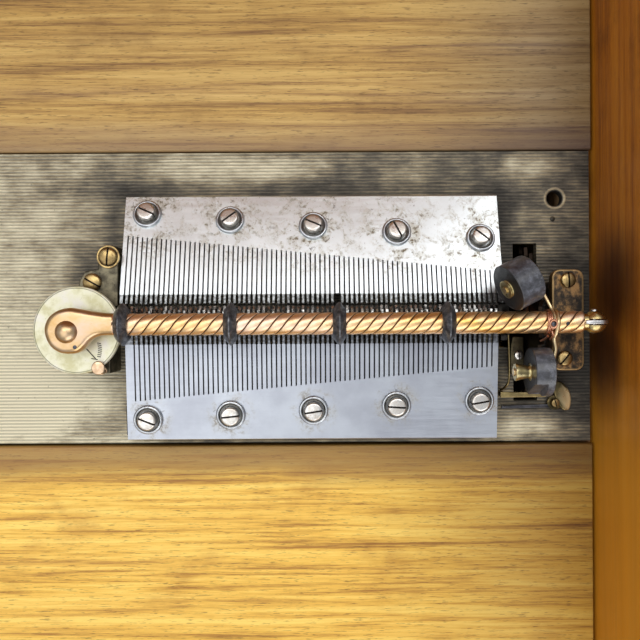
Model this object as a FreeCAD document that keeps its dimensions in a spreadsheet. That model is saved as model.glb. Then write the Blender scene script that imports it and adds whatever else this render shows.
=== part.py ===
import FreeCAD
import Part
import math
import os
import re
import Sketcher

V = FreeCAD.Vector
doc = FreeCAD.newDocument("disc_music_box")
sheet = doc.addObject("Spreadsheet::Sheet", "Sizes")

# Driving sizes in millimetres and degrees.
# The origin is the middle of the case's base, +Z up, the front towards -Y.
# The disc's axis is x = 0, y = 0, and the movement is placed from it.
SIZES = {
    "disc_radius": 204.0,
    "side_margin": 32.5,
    "depth_margin": 16.0,
    "wall": 15.0,
    "plinth_height": 20.0,
    "plinth_step": 13.5,
    "plinth_band": 32.0,
    "board": 8.0,
    "rim_height": 192.0,
    "disc_height": 167.0,
    "bed_top": 140.0,
    "bed_thick": 5.0,
    "bed_front": 54.0,
    "bed_back": 83.3,
    "bed_gap": 1.9,
    "deck_rise": 1.5,
    "deck_round": 0.9,
    "rail_width": 14.0,
    "rail_deep": 20.0,
    "lid_deep": 55.0,
    "lid_wall": 13.0,
    "lid_board": 9.0,
    "lid_over": 5.0,
    "lid_angle": 100.0,
    "lid_gap": 0.5,
    "knuckle_radius": 4.0,
    "pin_radius": 2.0,
    "hinge_width": 50.0,
    "hinge_x": 150.0,
    "running": 0.05,
    "comb_start": 17.1,
    "comb_margin": 15.0,
    "tooth_pitch": 2.19,
    "slot_width": 0.55,
    "comb_thick": 2.6,
    "rear_deep": 51.9,
    "rear_tilt": 15.0,
    "front_deep": 47.7,
    "front_tilt": 5.0,
    "tooth_long": 30.6,
    "tooth_short": 14.6,
    "tip_gap": 0.9,
    "star_y": 4.55,
    "star_drop": 7.5,
    "star_radius": 6.0,
    "star_root": 4.2,
    "rod_radius": 1.2,
    "head_radius": 4.0,
    "head_deep": 3.4,
    "washer_radius": 6.6,
    "washer_deep": 1.5,
    "screw_slot": 0.8,
    "bar_y": 2.4,
    "bar_rise": 9.15,
    "bar_radius": 4.75,
    "bar_start": 19.2,
    "hinge_inset": 13.25,
    "roller_first": 22.95,
    "roller_pitch": 46.0,
    "roller_wide": 6.4,
    "roller_rim": 1.0,
    "tongue_thick": 2.4,
    "clevis_radius": 5.0,
    "drum_radius": 10.3,
    "rear_wide": 11.4,
    "front_wide": 8.4,
    "hub_radius": 3.9,
    "axle_radius": 1.6,
    "table_radius": 19.3,
    "table_thick": 3.0,
    "spindle_radius": 3.0,
    "sprocket_radius": 36.5,
    "sprocket_thick": 1.6,
    "sprocket_over": 1.5,
    "window_wide": 11.3,
    "gear_module": 2.0,
    "gear_wide": 4.0,
    "barrel_radius": 36.0,
    "barrel_wide": 60.0,
    "arbor_radius": 5.0,
    "shaft_radius": 2.5,
    "plate_thick": 3.0,
    "crank_reach": 62.0,
    "grip_long": 44.0,
    "grip_radius": 9.5,
}

# Sizes worked out from the driving ones, written in the sheet as formulas.
DERIVED = {
    "half_x": "disc_radius + side_margin",
    "half_y": "disc_radius + depth_margin",
    "out_x": "half_x + wall",
    "out_y": "half_y + wall",
    "bed_under": "bed_top - bed_thick",
    "bed_x": "half_x - bed_gap",
    "deck_top": "bed_top + deck_rise",
    "comb_end": "disc_radius - comb_margin",
    "star_z": "disc_height - star_drop",
    "rear_tip": "star_y + star_radius + tip_gap",
    "front_tip": "star_y - star_radius - tip_gap",
    "bar_z": "disc_height + bar_rise",
    "roller_radius": "bar_rise",
    "pivot_x": "half_x - hinge_inset",
    "sprocket_z": "disc_height + sprocket_over - sprocket_radius",
    "window_x0": "disc_radius - window_wide / 2",
    "window_x1": "disc_radius + window_wide / 2",
    "window_y": "sprocket_radius + 0.8",
    "gear_x": "disc_radius - 8.5",
    "lid_pivot_y": "out_y + knuckle_radius",
    "lid_pivot_z": "rim_height + lid_gap / 2",
    "lid_low": "rim_height + lid_gap",
    "lid_high": "rim_height + lid_gap + lid_deep",
    "drum_z": "disc_height + drum_radius",
    "table_top": "disc_height - 0.5",
}

for row, (alias, number) in enumerate(SIZES.items(), start=1):
    sheet.set(f"A{row}", alias)
    sheet.set(f"B{row}", str(number))
    sheet.setAlias(f"B{row}", alias)


def named(text):
    """Put the sheet's name before each size named in an expression."""
    return re.sub(
        r"[a-z]\w*", lambda word: f"Sizes.{word.group()}" if word.group() in KNOWN else word.group(),
        text,
    )


KNOWN = set(SIZES)
for row, (alias, formula) in enumerate(DERIVED.items(), start=1):
    sheet.set(f"D{row}", alias)
    sheet.set(f"E{row}", "=" + formula)
    sheet.setAlias(f"E{row}", alias)
KNOWN |= set(DERIVED)
doc.recompute()


def size(alias):
    """The value of one named size."""
    return float(sheet.get(alias))


def bind(obj, **formulas):
    """Tie properties of an object to formulas of named sizes."""
    for name, formula in formulas.items():
        obj.setExpression(name, named(str(formula)))


def place(obj, x, y, z, axis=None, angle=0):
    """Turn an object about an axis through its own origin, then move it to a place given by formulas."""
    if axis is not None:
        obj.Placement = FreeCAD.Placement(
            V(), FreeCAD.Rotation(axis, 90 if isinstance(angle, str) else angle),
        )
    if isinstance(angle, str):
        obj.setExpression("Placement.Rotation.Angle", named(angle))
    for letter, formula in zip("xyz", (x, y, z)):
        obj.setExpression(f"Placement.Base.{letter}", named(str(formula)))
    return obj


def block(name, x, y, z):
    """A box between a low and a high formula on each axis."""
    box = doc.addObject("Part::Box", name)
    spans = [f"({high}) - ({low})" for low, high in (x, y, z)]
    bind(box, Length=spans[0], Width=spans[1], Height=spans[2])
    return place(box, x[0], y[0], z[0])


ALONG = {"X": (V(0, 1, 0), 90), "Y": (V(1, 0, 0), -90), "Z": (None, 0)}


def rod(name, along, start, radius, length):
    """A round bar of a given length along X, Y or Z from its start."""
    bar = doc.addObject("Part::Cylinder", name)
    bind(bar, Radius=radius, Height=length)
    axis, angle = ALONG[along]
    return place(bar, *start, axis, angle)


def wire(name, start, end, radius):
    """A round bar between two points given as numbers."""
    bar = doc.addObject("Part::Cylinder", name)
    way = V(*end) - V(*start)
    bar.Height = way.Length
    bind(bar, Radius=radius)
    bar.Placement = FreeCAD.Placement(V(*start), FreeCAD.Rotation(V(0, 0, 1), way))
    return bar


def sketch_outline(body, role, points):
    """A closed sketch whose corners are all held by formulas measured from the origin."""
    sketch = body.newObject("Sketcher::SketchObject", body.Name + "_outline")
    sketch.AttachmentSupport = [([f for f in body.Origin.OriginFeatures if f.Role == role][0], "")]
    sketch.MapMode = "FlatFace"
    count = len(points)
    ring = [V(
        10 * math.cos(2 * math.pi * k / count), 10 * math.sin(2 * math.pi * k / count), 0,
    ) for k in range(count)]
    for k in range(count):
        sketch.addGeometry(Part.LineSegment(ring[k], ring[(k + 1) % count]), False)
    for k in range(count):
        sketch.addConstraint(Sketcher.Constraint("Coincident", k, 2, (k + 1) % count, 1))
    for k, (across, up) in enumerate(points):
        for kind, start, formula in (("DistanceX", ring[k].x, across), ("DistanceY", ring[k].y, up)):
            index = sketch.addConstraint(Sketcher.Constraint(kind, -1, 1, k, 1, start))
            sketch.setExpression(f"Constraints[{index}]", named(str(formula)))
    return sketch


def plate(name, role, points, length, centre, axis=None, angle=0):
    """An outline in a base plane, thickened equally to both sides, then placed."""
    body = doc.addObject("PartDesign::Body", name)
    pad = body.newObject("PartDesign::Pad", name + "_pad")
    pad.Profile = sketch_outline(body, role, points)
    pad.Midplane = True
    bind(pad, Length=length)
    return place(body, *centre, axis, angle)


def number(value):
    """A size's name, or a plain number, as a number."""
    return size(value) if isinstance(value, str) else float(value)


def facets(profile, sides, bore=None):
    """A solid about Z with flat facets from (radius, distance) corners, and a many-sided bore if any."""
    loop = [(number(radius), number(distance)) for radius, distance in profile]
    if bore is not None:
        inner = number(bore) / math.cos(math.pi / sides)
        loop = [(inner, loop[0][1]), *loop, (inner, loop[-1][1])]
    rings = []
    for radius, distance in loop:
        angles = [2 * math.pi * (k + 0.5) / sides for k in range(sides)]
        rings.append([V(radius * math.cos(a), radius * math.sin(a), distance) for a in angles])
    pairs = list(zip(rings, rings[1:]))
    if bore is not None:
        pairs.append((rings[-1], rings[0]))
    faces = []
    for low, high in pairs:
        for k in range(sides):
            after = (k + 1) % sides
            corners = [low[k], low[after], high[after], high[k], low[k]]
            faces.append(Part.Face(Part.makePolygon(corners)))
    if bore is None:
        for ring in (rings[0], rings[-1]):
            faces.append(Part.Face(Part.makePolygon([*ring, ring[0]])))
    solid = Part.Solid(Part.Shell(faces))
    if solid.Volume < 0:
        solid.reverse()
    return solid


def faceted(name, along, centre, profile, sides, bore=None):
    """A faceted solid stood along an axis, for small round pieces that need few facets."""
    shape = doc.addObject("Part::Feature", name)
    shape.Shape = facets(profile, sides, bore)
    axis, angle = ALONG[along]
    return place(shape, *centre, axis, angle)


def strand(name, start, end, radius):
    """An eight-sided wire between two points given as numbers."""
    way = V(*end) - V(*start)
    piece = doc.addObject("Part::Feature", name)
    piece.Shape = facets([(radius, 0), (radius, way.Length)], 8)
    piece.Placement = FreeCAD.Placement(V(*start), FreeCAD.Rotation(V(0, 0, 1), way))
    return piece


def bored(name, along, start, shaft, length, sides):
    """A many-sided hole that a shaft of a named radius runs in, its flats one running gap off the shaft."""
    radius = (number(shaft) + size("running")) / math.cos(math.pi / sides)
    return faceted(name, along, start, [(radius, 0), (radius, length)], sides)


def joined(name, *pieces, refine=True):
    """Pieces made into one solid, with split faces merged where that is sound."""
    fuse = doc.addObject("Part::MultiFuse", name)
    fuse.Shapes = list(pieces)
    fuse.Refine = refine
    return fuse


def grouped(name, *pieces):
    """Separate equal pieces kept together under one name."""
    group = doc.addObject("Part::Compound", name)
    group.Links = list(pieces)
    return group


def cut(name, base, *tools):
    """A piece with other pieces taken out of it."""
    result = doc.addObject("Part::Cut", name)
    result.Base = base
    result.Tool = tools[0] if len(tools) == 1 else joined(name + "_tools", *tools)
    return result


def prism(name, points, direction, length):
    """A polygon whose corners follow a formula, thickened by a bound length."""
    outline = doc.addObject("Part::Polygon", name + "_outline")
    outline.Nodes = [V(*point) for point in points]
    outline.Close = True
    solid = doc.addObject("Part::Extrusion", name)
    solid.Base = outline
    solid.DirMode = "Custom"
    solid.Dir = V(*direction)
    solid.Solid = True
    bind(solid, LengthFwd=length)
    return solid


NODES = []


def node(label, obj):
    """Name a finished piece and list it for export."""
    obj.Label = label
    NODES.append(obj)
    return obj


# The case: a plinth frame with a sloping top, a bottom board, four walls and two rails for the bed.
foot_x = "(out_x + plinth_step)"
foot_y = "(out_y + plinth_step)"
low_edge = "(plinth_height * 0.6)"
foot_block = block("foot_block", (f"-{foot_x}", foot_x), (f"-{foot_y}", foot_y), (0, low_edge))
slope = doc.addObject("Part::Wedge", "foot_slope")
bind(
    slope, Xmin=f"-{foot_x}", Xmax=foot_x, Zmin=f"-{foot_y}", Zmax=foot_y, Ymin=low_edge,
    Ymax="plinth_height",
)
bind(slope, X2min="-out_x - 1", X2max="out_x + 1", Z2min="-out_y - 1", Z2max="out_y + 1")
slope.Placement = FreeCAD.Placement(V(), FreeCAD.Rotation(V(1, 0, 0), 90))
well_x = (f"plinth_band - {foot_x}", f"{foot_x} - plinth_band")
well_y = (f"plinth_band - {foot_y}", f"{foot_y} - plinth_band")
well = block("foot_well", well_x, well_y, (-1, "plinth_height + 1"))
node("plinth", cut("plinth_frame", joined("plinth_blank", foot_block, slope), well))
node("bottom_board", block("floor", well_x, well_y, (0, "board")))
wall_z = ("plinth_height", "rim_height")
node("case_front", block("wall_front", ("-out_x", "out_x"), ("-out_y", "-half_y"), wall_z))
node("case_back", block("wall_back", ("-out_x", "out_x"), ("half_y", "out_y"), wall_z))
node("case_left", block("wall_left", ("-out_x", "-half_x"), ("-half_y", "half_y"), wall_z))
right_blank = block("wall_right_blank", ("half_x", "out_x"), ("-half_y", "half_y"), wall_z)
BUSH = "arbor_radius + 3"
barrel_y = "bar_y"
barrel_z = "sprocket_z - 25 * gear_module"
bush_hole = rod("bush_hole", "X", ("half_x - 1", barrel_y, barrel_z), BUSH, "wall + 2")
node("case_right", cut("wall_right", right_blank, bush_hole))
rail_z = ("bed_under - rail_deep", "bed_under")
rail_y = ("-half_y", "half_y")
rail_left = block("rail_left", ("-half_x", "rail_width - half_x"), rail_y, rail_z)
rail_right = block("rail_right", ("half_x - rail_width", "half_x"), rail_y, rail_z)
node("bed_rails", grouped("rails", rail_left, rail_right))

# The two deck boards, with a rounded edge beside the bed.


def deck_board(name, near, far, sign):
    """A deck board from the bed's edge to the case wall, its near top edge eased in three facets."""
    edge = f"({near})"
    corners = [
        (f"{sign} * {edge}", "bed_under"),
        (f"{sign} * ({far})", "bed_under"),
        (f"{sign} * ({far})", "deck_top"),
        (f"{sign} * ({edge} + deck_round)", "deck_top"),
        (f"{sign} * ({edge} + 0.3 * deck_round)", "deck_top - 0.3 * deck_round"),
        (f"{sign} * {edge}", "deck_top - deck_round"),
    ]
    return plate(name, "YZ_Plane", corners, "2 * half_x - 2.6", (0, 0, 0))


node("deck_rear", deck_board("rear_deck", "bed_back + 0.7", "half_y - 0.3", 1))
node("deck_front", deck_board("front_deck", "bed_front + 1.1", "half_y - 0.3", -1))

# The bed: a cast plate with the sprocket's window, a slot for the pinion and a locating hole.
bed_blank = block("bed_blank", ("-bed_x", "bed_x"), ("-bed_front", "bed_back"), ("bed_under", "bed_top"))
through_z = ("bed_under - 1", "bed_top + 1")
window = block("window", ("window_x0", "window_x1"), ("bar_y - window_y", "bar_y + window_y"), through_z)
slot_y = ("bar_y - 6 * gear_module", "bar_y + 6 * gear_module")
pinion_slot = block("pinion_slot", ("gear_x - gear_wide", "window_x0 + 1"), slot_y, through_z)
pilot_hole = rod(
    "pilot_hole", "Z", ("half_x - 18.1", "bed_back - 22.3", "bed_under - 1"), 3.65, "bed_thick + 2",
)
node("bedplate", cut("bed", bed_blank, window, pinion_slot, pilot_hole))


# Slotted screws: a round head with a cut across it.
def slotted_head(name, x, y, z, radius, deep, turn, axis=None, angle=0):
    """A slotted screw head standing on a point, its slot turned in plan."""
    head = faceted(name + "_head", "Z", (0, 0, 0), [(radius, 0), (radius, deep)], 10)
    slot = block(
        name + "_slot", (f"-({radius}) - 1", f"{radius} + 1"), ("-screw_slot / 2", "screw_slot / 2"),
        (f"{deep} - 1.2", f"{deep} + 1"),
    )
    slot.Placement = FreeCAD.Placement(slot.Placement.Base, FreeCAD.Rotation())
    blank = cut(name + "_blank", head, slot)
    blank.Placement = FreeCAD.Placement(V(), FreeCAD.Rotation(V(0, 0, 1), turn))
    screw = grouped(name, blank)
    return place(screw, x, y, z, axis, angle)


# Three screws hold the bed's left-hand end. Its right-hand end lies on the rail and shows none.
bed_heads = []
for k, y in enumerate(("-bed_front + 9", "bed_back * 0.35 - 16", "bed_back - 9")):
    turn = 30 + 50 * k
    head = slotted_head(f"bed_screw_{k}", "5.6 - bed_x", y, "bed_top", "head_radius", 2.4, turn)
    bed_heads.append(head)
node("bed_screws", grouped("bed_heads", *bed_heads))

# The combs. Each lies in its own plane through the tips, which are level with the star wheels' axis.
pitch = size("tooth_pitch")
comb_start = size("comb_start")
teeth = int((size("comb_end") - comb_start) / pitch)
mid_tooth = int(teeth * 0.565)
comb_stop = comb_start + teeth * pitch


def tooth_x(k):
    """The middle of tooth k along X."""
    return comb_start + (k + 0.5) * pitch


def root_depth(x):
    """How far the slots run back from the tips: long at the disc's middle, short at its edge."""
    share = (x - comb_start) / (comb_stop - comb_start)
    return size("tooth_long") + (size("tooth_short") - size("tooth_long")) * share


def comb_outline(sign, deep):
    """The comb's edge in its own plane: straight back, and one slot between each two teeth."""
    half_slot = size("slot_width") / 2
    points = [(comb_start, sign * deep, 0), (comb_start, 0, 0)]
    for k in range(1, teeth):
        x = comb_start + k * pitch
        depth = root_depth(x)
        points += [(x - half_slot, 0, 0), (x - half_slot, sign * depth, 0)]
        points += [(x + half_slot, sign * depth, 0), (x + half_slot, 0, 0)]
    return points + [(comb_stop, 0, 0), (comb_stop, sign * deep, 0)]


def comb(name, sign, deep, tilt, tip):
    """A comb plate with its teeth, the middle tooth cut short for the gantry."""
    blank = prism(name + "_blank", comb_outline(sign, size(deep)), (0, 0, -1), "comb_thick")
    reach = (0, 4.4) if sign > 0 else (-4.4, 0)
    middle = tooth_x(mid_tooth)
    notch_x = (middle - pitch / 2 - 0.1, middle + pitch / 2 + 0.1)
    notch = block(name + "_notch", notch_x, (reach[0] - 1, reach[1] + 1), ("-comb_thick - 1", 1))
    shape = cut(name + "_cut", blank, notch)
    return place(shape, 0, tip, "star_z + comb_thick / 2", V(-sign, 0, 0), tilt)


node("comb_rear", comb("rear_comb", 1, "rear_deep", "rear_tilt", "rear_tip"))
node("comb_front", comb("front_comb", -1, "front_deep", "front_tilt", "front_tip"))


def comb_base(name, sign, deep, tilt, tip):
    """A cast riser under the comb's solid part, cut level on the bed."""
    back = size(deep) - 1.5
    near = [(x, sign * (root_depth(x) + 2.0), 0) for x in (comb_start + 1.5, comb_stop - 1.5)]
    corners = [(comb_start + 1.5, sign * back, 0), *near, (comb_stop - 1.5, sign * back, 0)]
    riser = prism(name + "_riser", corners, (0, 0, -1), "bed_top")
    place(riser, 0, tip, "star_z + comb_thick / 2", V(-sign, 0, 0), tilt)
    riser.setExpression("Placement.Base.y", named(f"{tip} - {sign} * comb_thick * sin({tilt})"))
    riser.setExpression("Placement.Base.z", named(f"star_z + comb_thick / 2 - comb_thick * cos({tilt})"))
    below = block(
        name + "_below", (0, "comb_end + 20"), ("-2 * bed_back", "2 * bed_back"),
        ("-bed_top", "bed_top"),
    )
    return cut(name, riser, below)


node("comb_base_rear", comb_base("rear_base", 1, "rear_deep", "rear_tilt", "rear_tip"))
node("comb_base_front", comb_base("front_base", -1, "front_deep", "front_tilt", "front_tip"))

# Five screws along each comb, in a line that follows the slots' ends.
SCREW_TURNS = {1: (25, -38, 24, 64, 40), -1: (22, -6, -9, 4, -10)}
washers = []
heads = []
for sign, tilt, tip, first, last in (
    (1, "rear_tilt", "rear_tip", 43.0, 30.5), (-1, "front_tilt", "front_tip", 38.3, 30.5),
):
    for k in range(5):
        along = f"comb_start + 10.4 + {k} / 4 * (comb_end - comb_start - 19.2)"
        back = first + (last - first) * k / 4
        y = f"{tip} + {sign} * {back} * cos({tilt})"
        z = f"star_z + comb_thick / 2 - {back} * sin({tilt})"
        name = f"comb_screw_{'rear' if sign > 0 else 'front'}_{k}"
        ring = [("washer_radius", 0), (size("washer_radius") - 1.6, "washer_deep")]
        washer = faceted(name + "_washer", "Z", (0, 0, 0), ring, 12)
        washers.append(place(washer, along, y, z, V(-sign, 0, 0), tilt))
        y_head = f"{y} + {sign} * washer_deep * sin({tilt})"
        z_head = f"{z} + washer_deep * cos({tilt})"
        heads.append(slotted_head(
            name, along, y_head, z_head, "head_radius", "head_deep", SCREW_TURNS[sign][k],
            V(-sign, 0, 0), tilt,
        ))
node("comb_washers", grouped("washers", *washers))
node("comb_screws", grouped("heads", *heads))

# The star wheels: a six-sided core with a point on each flat, one wheel under each pair of comb tips.

STAR_TEETH = 6


def star_corner(x, step, radius):
    """A corner at a radius, a number of half teeth round the star axis."""
    angle = math.pi / STAR_TEETH * step
    return V(x, size("star_y") + radius * math.cos(angle), size("star_z") + radius * math.sin(angle))


def star_bank(name, low, high):
    """Star wheels from tooth low to tooth high: each flat of the core carries one point per wheel."""
    half = pitch / 2
    root = size("star_root")
    rows = [tooth_x(k) - half for k in range(low, high + 1)] + [tooth_x(high) + half]
    faces = []
    for step in range(1, 2 * STAR_TEETH, 2):
        for start, end in zip(rows, rows[1:]):
            near = [star_corner(start, step, root), star_corner(end, step, root)]
            flat = near + [star_corner(end, step + 2, root), star_corner(start, step + 2, root)]
            point = star_corner((start + end) / 2, step + 1, size("star_radius"))
            for first, second in zip(flat, flat[1:] + flat[:1]):
                faces.append(Part.Face(Part.makePolygon([first, second, point, first])))
    for x in (rows[0], rows[-1]):
        ring = [star_corner(x, step, root) for step in range(1, 2 * STAR_TEETH, 2)]
        faces.append(Part.Face(Part.makePolygon([*ring, ring[0]])))
    solid = Part.Solid(Part.Shell(faces))
    if solid.Volume < 0:
        solid.reverse()
    bank = doc.addObject("Part::Feature", name + "_blank")
    bank.Shape = solid
    start = rows[0] - 1
    bore = rod(
        name + "_bore", "X", (start, "star_y", "star_z"), "rod_radius + running",
        rows[-1] + 1 - start,
    )
    return cut(name, bank, bore)


node("star_bank_inner", star_bank("inner_stars", 1, mid_tooth - 1))
node("star_bank_outer", star_bank("outer_stars", mid_tooth + 1, teeth - 2))

# The gantry between the combs: a foot on the bed, three uprights and the rod that the stars turn on.
upright_y = ("front_tip + 1", "rear_tip - 1.2")
upright_z = ("bed_top", "star_z + 2.6")
gantry_parts = [block(
    "gantry_foot", (tooth_x(0) - 0.9, tooth_x(teeth - 1) + 0.9), upright_y,
    ("bed_top", "bed_top + 4"),
)]
for k in (0, mid_tooth, teeth - 1):
    gantry_parts.append(block(f"upright_{k}", (tooth_x(k) - 0.8, tooth_x(k) + 0.8), upright_y, upright_z))
rod_length = tooth_x(teeth - 1) - tooth_x(0) + 2
rod_ends = [("rod_radius", 0), ("rod_radius", rod_length)]
gantry_parts.append(faceted("star_rod", "X", (tooth_x(0) - 1, "star_y", "star_z"), rod_ends, 8))
node("star_gantry", joined("gantry", *gantry_parts))


def damper_rail(name, sign, tip):
    """A slim rail under one comb's tips that carries the wire dampers."""
    y0 = f"{tip} + {sign} * 5"
    y1 = f"{tip} + {sign} * 7.5"
    y = (y0, y1) if sign > 0 else (y1, y0)
    foot_y = (y[0], f"{y[1]} + 3") if sign > 0 else (f"{y[0]} - 3", y[1])
    web = block(name + "_web", (tooth_x(1), tooth_x(teeth - 2)), y, ("bed_top", "star_z - 7"))
    foot = block(name + "_foot", (tooth_x(1), tooth_x(teeth - 2)), foot_y, ("bed_top", "bed_top + 1.5"))
    return joined(name, web, foot)


dampers = grouped(
    "dampers", damper_rail("rear_dampers", 1, "rear_tip"),
    damper_rail("front_dampers", -1, "front_tip"),
)
node("damper_rails", dampers)

# The middle of the disc: a cast bracket on the bed, the spindle, the turntable and the index lever.
bracket_top = "disc_height - 9"
bracket_corners = [
    (-12, -10), (-8, -15.6), (-3, -18.2), (3, -19.6), (12.2, -19.6), (12.2, 8), (16, 11), (16, 34.5),
    (14, 38), (9.5, 38), (7, 34.5), (7, 27.4), (1.2, 26.4), (-1.2, 22.5), (-3, 16), (-12, 11),
]
bracket_high = f"({bracket_top} - bed_top)"
bracket_middle = f"bed_top + {bracket_high} / 2"
bracket = plate("bracket_block", "XY_Plane", bracket_corners, bracket_high, (0, 0, bracket_middle))
node("centre_bracket", bracket)
post = size("spindle_radius")
spindle_foot = faceted("spindle_foot", "Z", (0, 0, bracket_top), [(7, 0), (7, 2.4)], 12)
spindle_post = rod("spindle_post", "Z", (0, 0, bracket_top), "spindle_radius", 9.6)
spindle_tip = faceted(
    "spindle_tip", "Z", (0, 0, f"{bracket_top} + 9.6"), [(post - 0.3, 0), (post - 1.2, 0.9)], 12,
)
node("centre_spindle", joined("spindle", spindle_foot, spindle_post, spindle_tip))
thick = size("table_thick")
table_profile = [(7, -thick - 1.2), (7, -thick), ("table_radius", -thick), ("table_radius", 0)]
table_bore = post + size("running")
node("turntable", faceted("table", "Z", (0, 0, "table_top"), table_profile, 28, table_bore))
lever_low = f"{bracket_top} + 2.8"
lever_hub = faceted("lever_hub", "Z", (0, 0, lever_low), [(6.2, 0), (6.2, 1.3)], 12)
lever_arm = block("lever_arm", (0, "table_radius + 3.5"), (-2, 2), (lever_low, f"{lever_low} + 1.3"))
lever_post = faceted("lever_post", "Z", ("table_radius + 1.8", 0, lever_low), [(1.3, 0), (1.3, 6.5)], 8)
lever_button = faceted(
    "lever_button", "Z", ("table_radius + 1.2", 0, f"{lever_low} + 6.1"), [(3, 0), (3, 1.5)], 16,
)
lever_bore = bored("lever_bore", "Z", (0, 0, f"{lever_low} - 1"), "spindle_radius", 4, 12)
lever = cut("index_arm", joined("lever_blank", lever_hub, lever_arm, lever_post, lever_button), lever_bore)
lever.Placement = FreeCAD.Placement(V(), FreeCAD.Rotation(V(0, 0, 1), -60))
node("index_lever", lever)

# The pressure bar's right-hand end: a bracket on the bed, a steel tongue and the hinge pin.
hx = "pivot_x"
arm_corners = [
    (f"{hx} - 11.6", "-20.6"), (f"{hx} - 8", "-22.4"), (f"{hx} - 1", "-22.4"), (f"{hx} + 2.4", "-20.6"),
    (f"{hx} + 2.4", "19.4"), (f"{hx} - 0.6", "22.4"), (f"{hx} - 8.6", "22.4"), (f"{hx} - 11.6", "19.4"),
]
foot_top = "disc_height - 10"
arm_plate = plate("arm_plate", "XY_Plane", arm_corners, 5, (0, "bar_y + 1.2", f"{foot_top} - 2.5"))
arm_post = block(
    "arm_post", (f"{hx} - 9.5", f"{hx} + 0.5"), ("bar_y - 17", "bar_y + 19"),
    ("bed_top", f"{foot_top} - 5"),
)
node("hinge_bracket", joined("arm_bracket", arm_plate, arm_post))
tongue_corners = [
    (-4, f"{foot_top} - bar_z"), (2.2, f"{foot_top} - bar_z"), (3.2, "-6"), (5.4, "-2"),
    (5.4, "2"), (3, "4.6"), (-3, "4.6"), (-4.6, "2"), (-4.6, "-3"),
]
tongue_blank = plate("tongue_blank", "XZ_Plane", tongue_corners, "tongue_thick", (hx, "bar_y", "bar_z"))
tongue_bore = rod("tongue_bore", "Y", (hx, "bar_y - 5", "bar_z"), 1.5, 10)
node("hinge_tongue", cut("tongue", tongue_blank, tongue_bore))
node("hinge_pin", rod("arm_pin", "Y", (hx, "bar_y - 5.6", "bar_z"), 1.5, 11.2))
arm_heads = [
    slotted_head("arm_screw_a", f"{hx} - 4.7", "bar_y + 18.9", foot_top, 3.4, 2.4, 35),
    slotted_head("arm_screw_b", f"{hx} - 6.4", "bar_y - 16.3", foot_top, 3.4, 2.4, -20),
    slotted_head("middle_screw_a", 11.8, 32.8, bracket_top, 4.2, 2.6, 50),
    slotted_head("middle_screw_b", 4.6, 21.4, bracket_top, 4.2, 2.6, -10),
]

stop_x = "disc_radius + 13"
stop_y = "bar_y - 38"
stop_shank = rod("stop_shank", "Z", (stop_x, stop_y, "bed_top"), 1.5, 4)
stop_top = slotted_head("stop_screw", stop_x, stop_y, "bed_top + 4", 3.4, 1.8, 15)
node("bracket_screws", grouped("arm_heads", *arm_heads, joined("stop_bolt", stop_shank, stop_top)))

# The bar, its clevis, the boss over the disc's middle and the four guide rollers.
bar_end = "pivot_x - 7"
node(
    "twisted_bar",
    rod("bar", "X", ("bar_start", "bar_y", "bar_z"), "bar_radius", f"{bar_end} - bar_start"),
)
fork_radius = size("clevis_radius")
fork_profile = [(fork_radius - 0.6, -7), (fork_radius, -5.8), (fork_radius, 1.8), (3.6, 4.2), (1.8, 4.8)]
fork_blank = faceted("fork_blank", "X", (hx, "bar_y", "bar_z"), fork_profile, 16)
fork_gap = ("bar_y - tongue_thick / 2 - 0.35", "bar_y + tongue_thick / 2 + 0.35")
fork_slot = block("fork_slot", (f"{hx} - 5.6", f"{hx} + 8"), fork_gap, ("bar_z - 8", "bar_z + 8"))
fork_bore = bored("fork_bore", "Y", (hx, "bar_y - 8", "bar_z"), 1.5, 16, 10)
node("clevis_end", cut("fork", fork_blank, fork_slot, fork_bore))

boss_corners = [
    (
        "bar_start", "bar_y - 4.2",
    ), ("bar_start", "bar_y + 4.4"), (11, 7.8), (4, 9.6), (-2, 9.8), (-7.5, 7.8), (-11, 3.5),
    (-11.6, -1.5), (-9.6, -6.2), (-5, -9.2), (0.5, -9.9), (6, -8), (11.5, -4.2),
]
boss_low = "disc_height + 2.2"
boss_high = "bar_z + 2.6"
boss_blank = plate(
    "boss_blank", "XY_Plane", boss_corners, f"{boss_high} - ({boss_low})",
    (0, 0, f"({boss_high} + {boss_low}) / 2"),
)
dome_profile = [(4.9, -1), (4.9, 0.4), (3.9, 1.8), (2, 2.6)]
boss_dome = faceted("boss_dome", "Z", (0, 0, boss_high), dome_profile, 14)
boss_hole = faceted("boss_hole", "Z", (2.5, -7.1, f"{boss_high} - 3"), [(0.7, 0), (0.7, 6)], 8)
node("centre_boss", cut("boss", joined("boss_solid", boss_blank, boss_dome), boss_hole))

half_wide = size("roller_wide") / 2
half_rim = size("roller_rim") / 2
hub = size("bar_radius") + 1.6
roller_profile = [
    (hub, -half_wide), ("roller_radius", -half_rim), ("roller_radius", half_rim), (hub, half_wide),
]
roller_bore = size("bar_radius") + size("running")
for k in range(4):
    centre = (f"roller_first + {k} * roller_pitch", "bar_y", "bar_z")
    node(f"bar_roller_{k + 1}", faceted(f"roller_{k + 1}", "X", centre, roller_profile, 18, roller_bore))

# The two rubber rollers over the disc's edge, on wires from a clamp round the bar.
bar_y = size("bar_y")
drum_z = size("drum_z")
edge_x = size("disc_radius")
half_rear = size("rear_wide") / 2
half_front = size("front_wide") / 2
clamp_x = edge_x + 0.8
REAR_CENTRE = (edge_x - 13.2, bar_y + 16.6, drum_z + 1.3)
FRONT_CENTRE = (edge_x - 4.4, bar_y - 21.0, drum_z)


def aimed(turn, lean):
    """The direction of an axis turned in plan from +X and leaned so that its right-hand end is lower."""
    turn, lean = math.radians(turn), math.radians(lean)
    return V(math.cos(turn) * math.cos(lean), math.sin(turn) * math.cos(lean), -math.sin(lean))


REAR_WAY = aimed(26, 13)
FRONT_WAY = aimed(0, 0)


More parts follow.
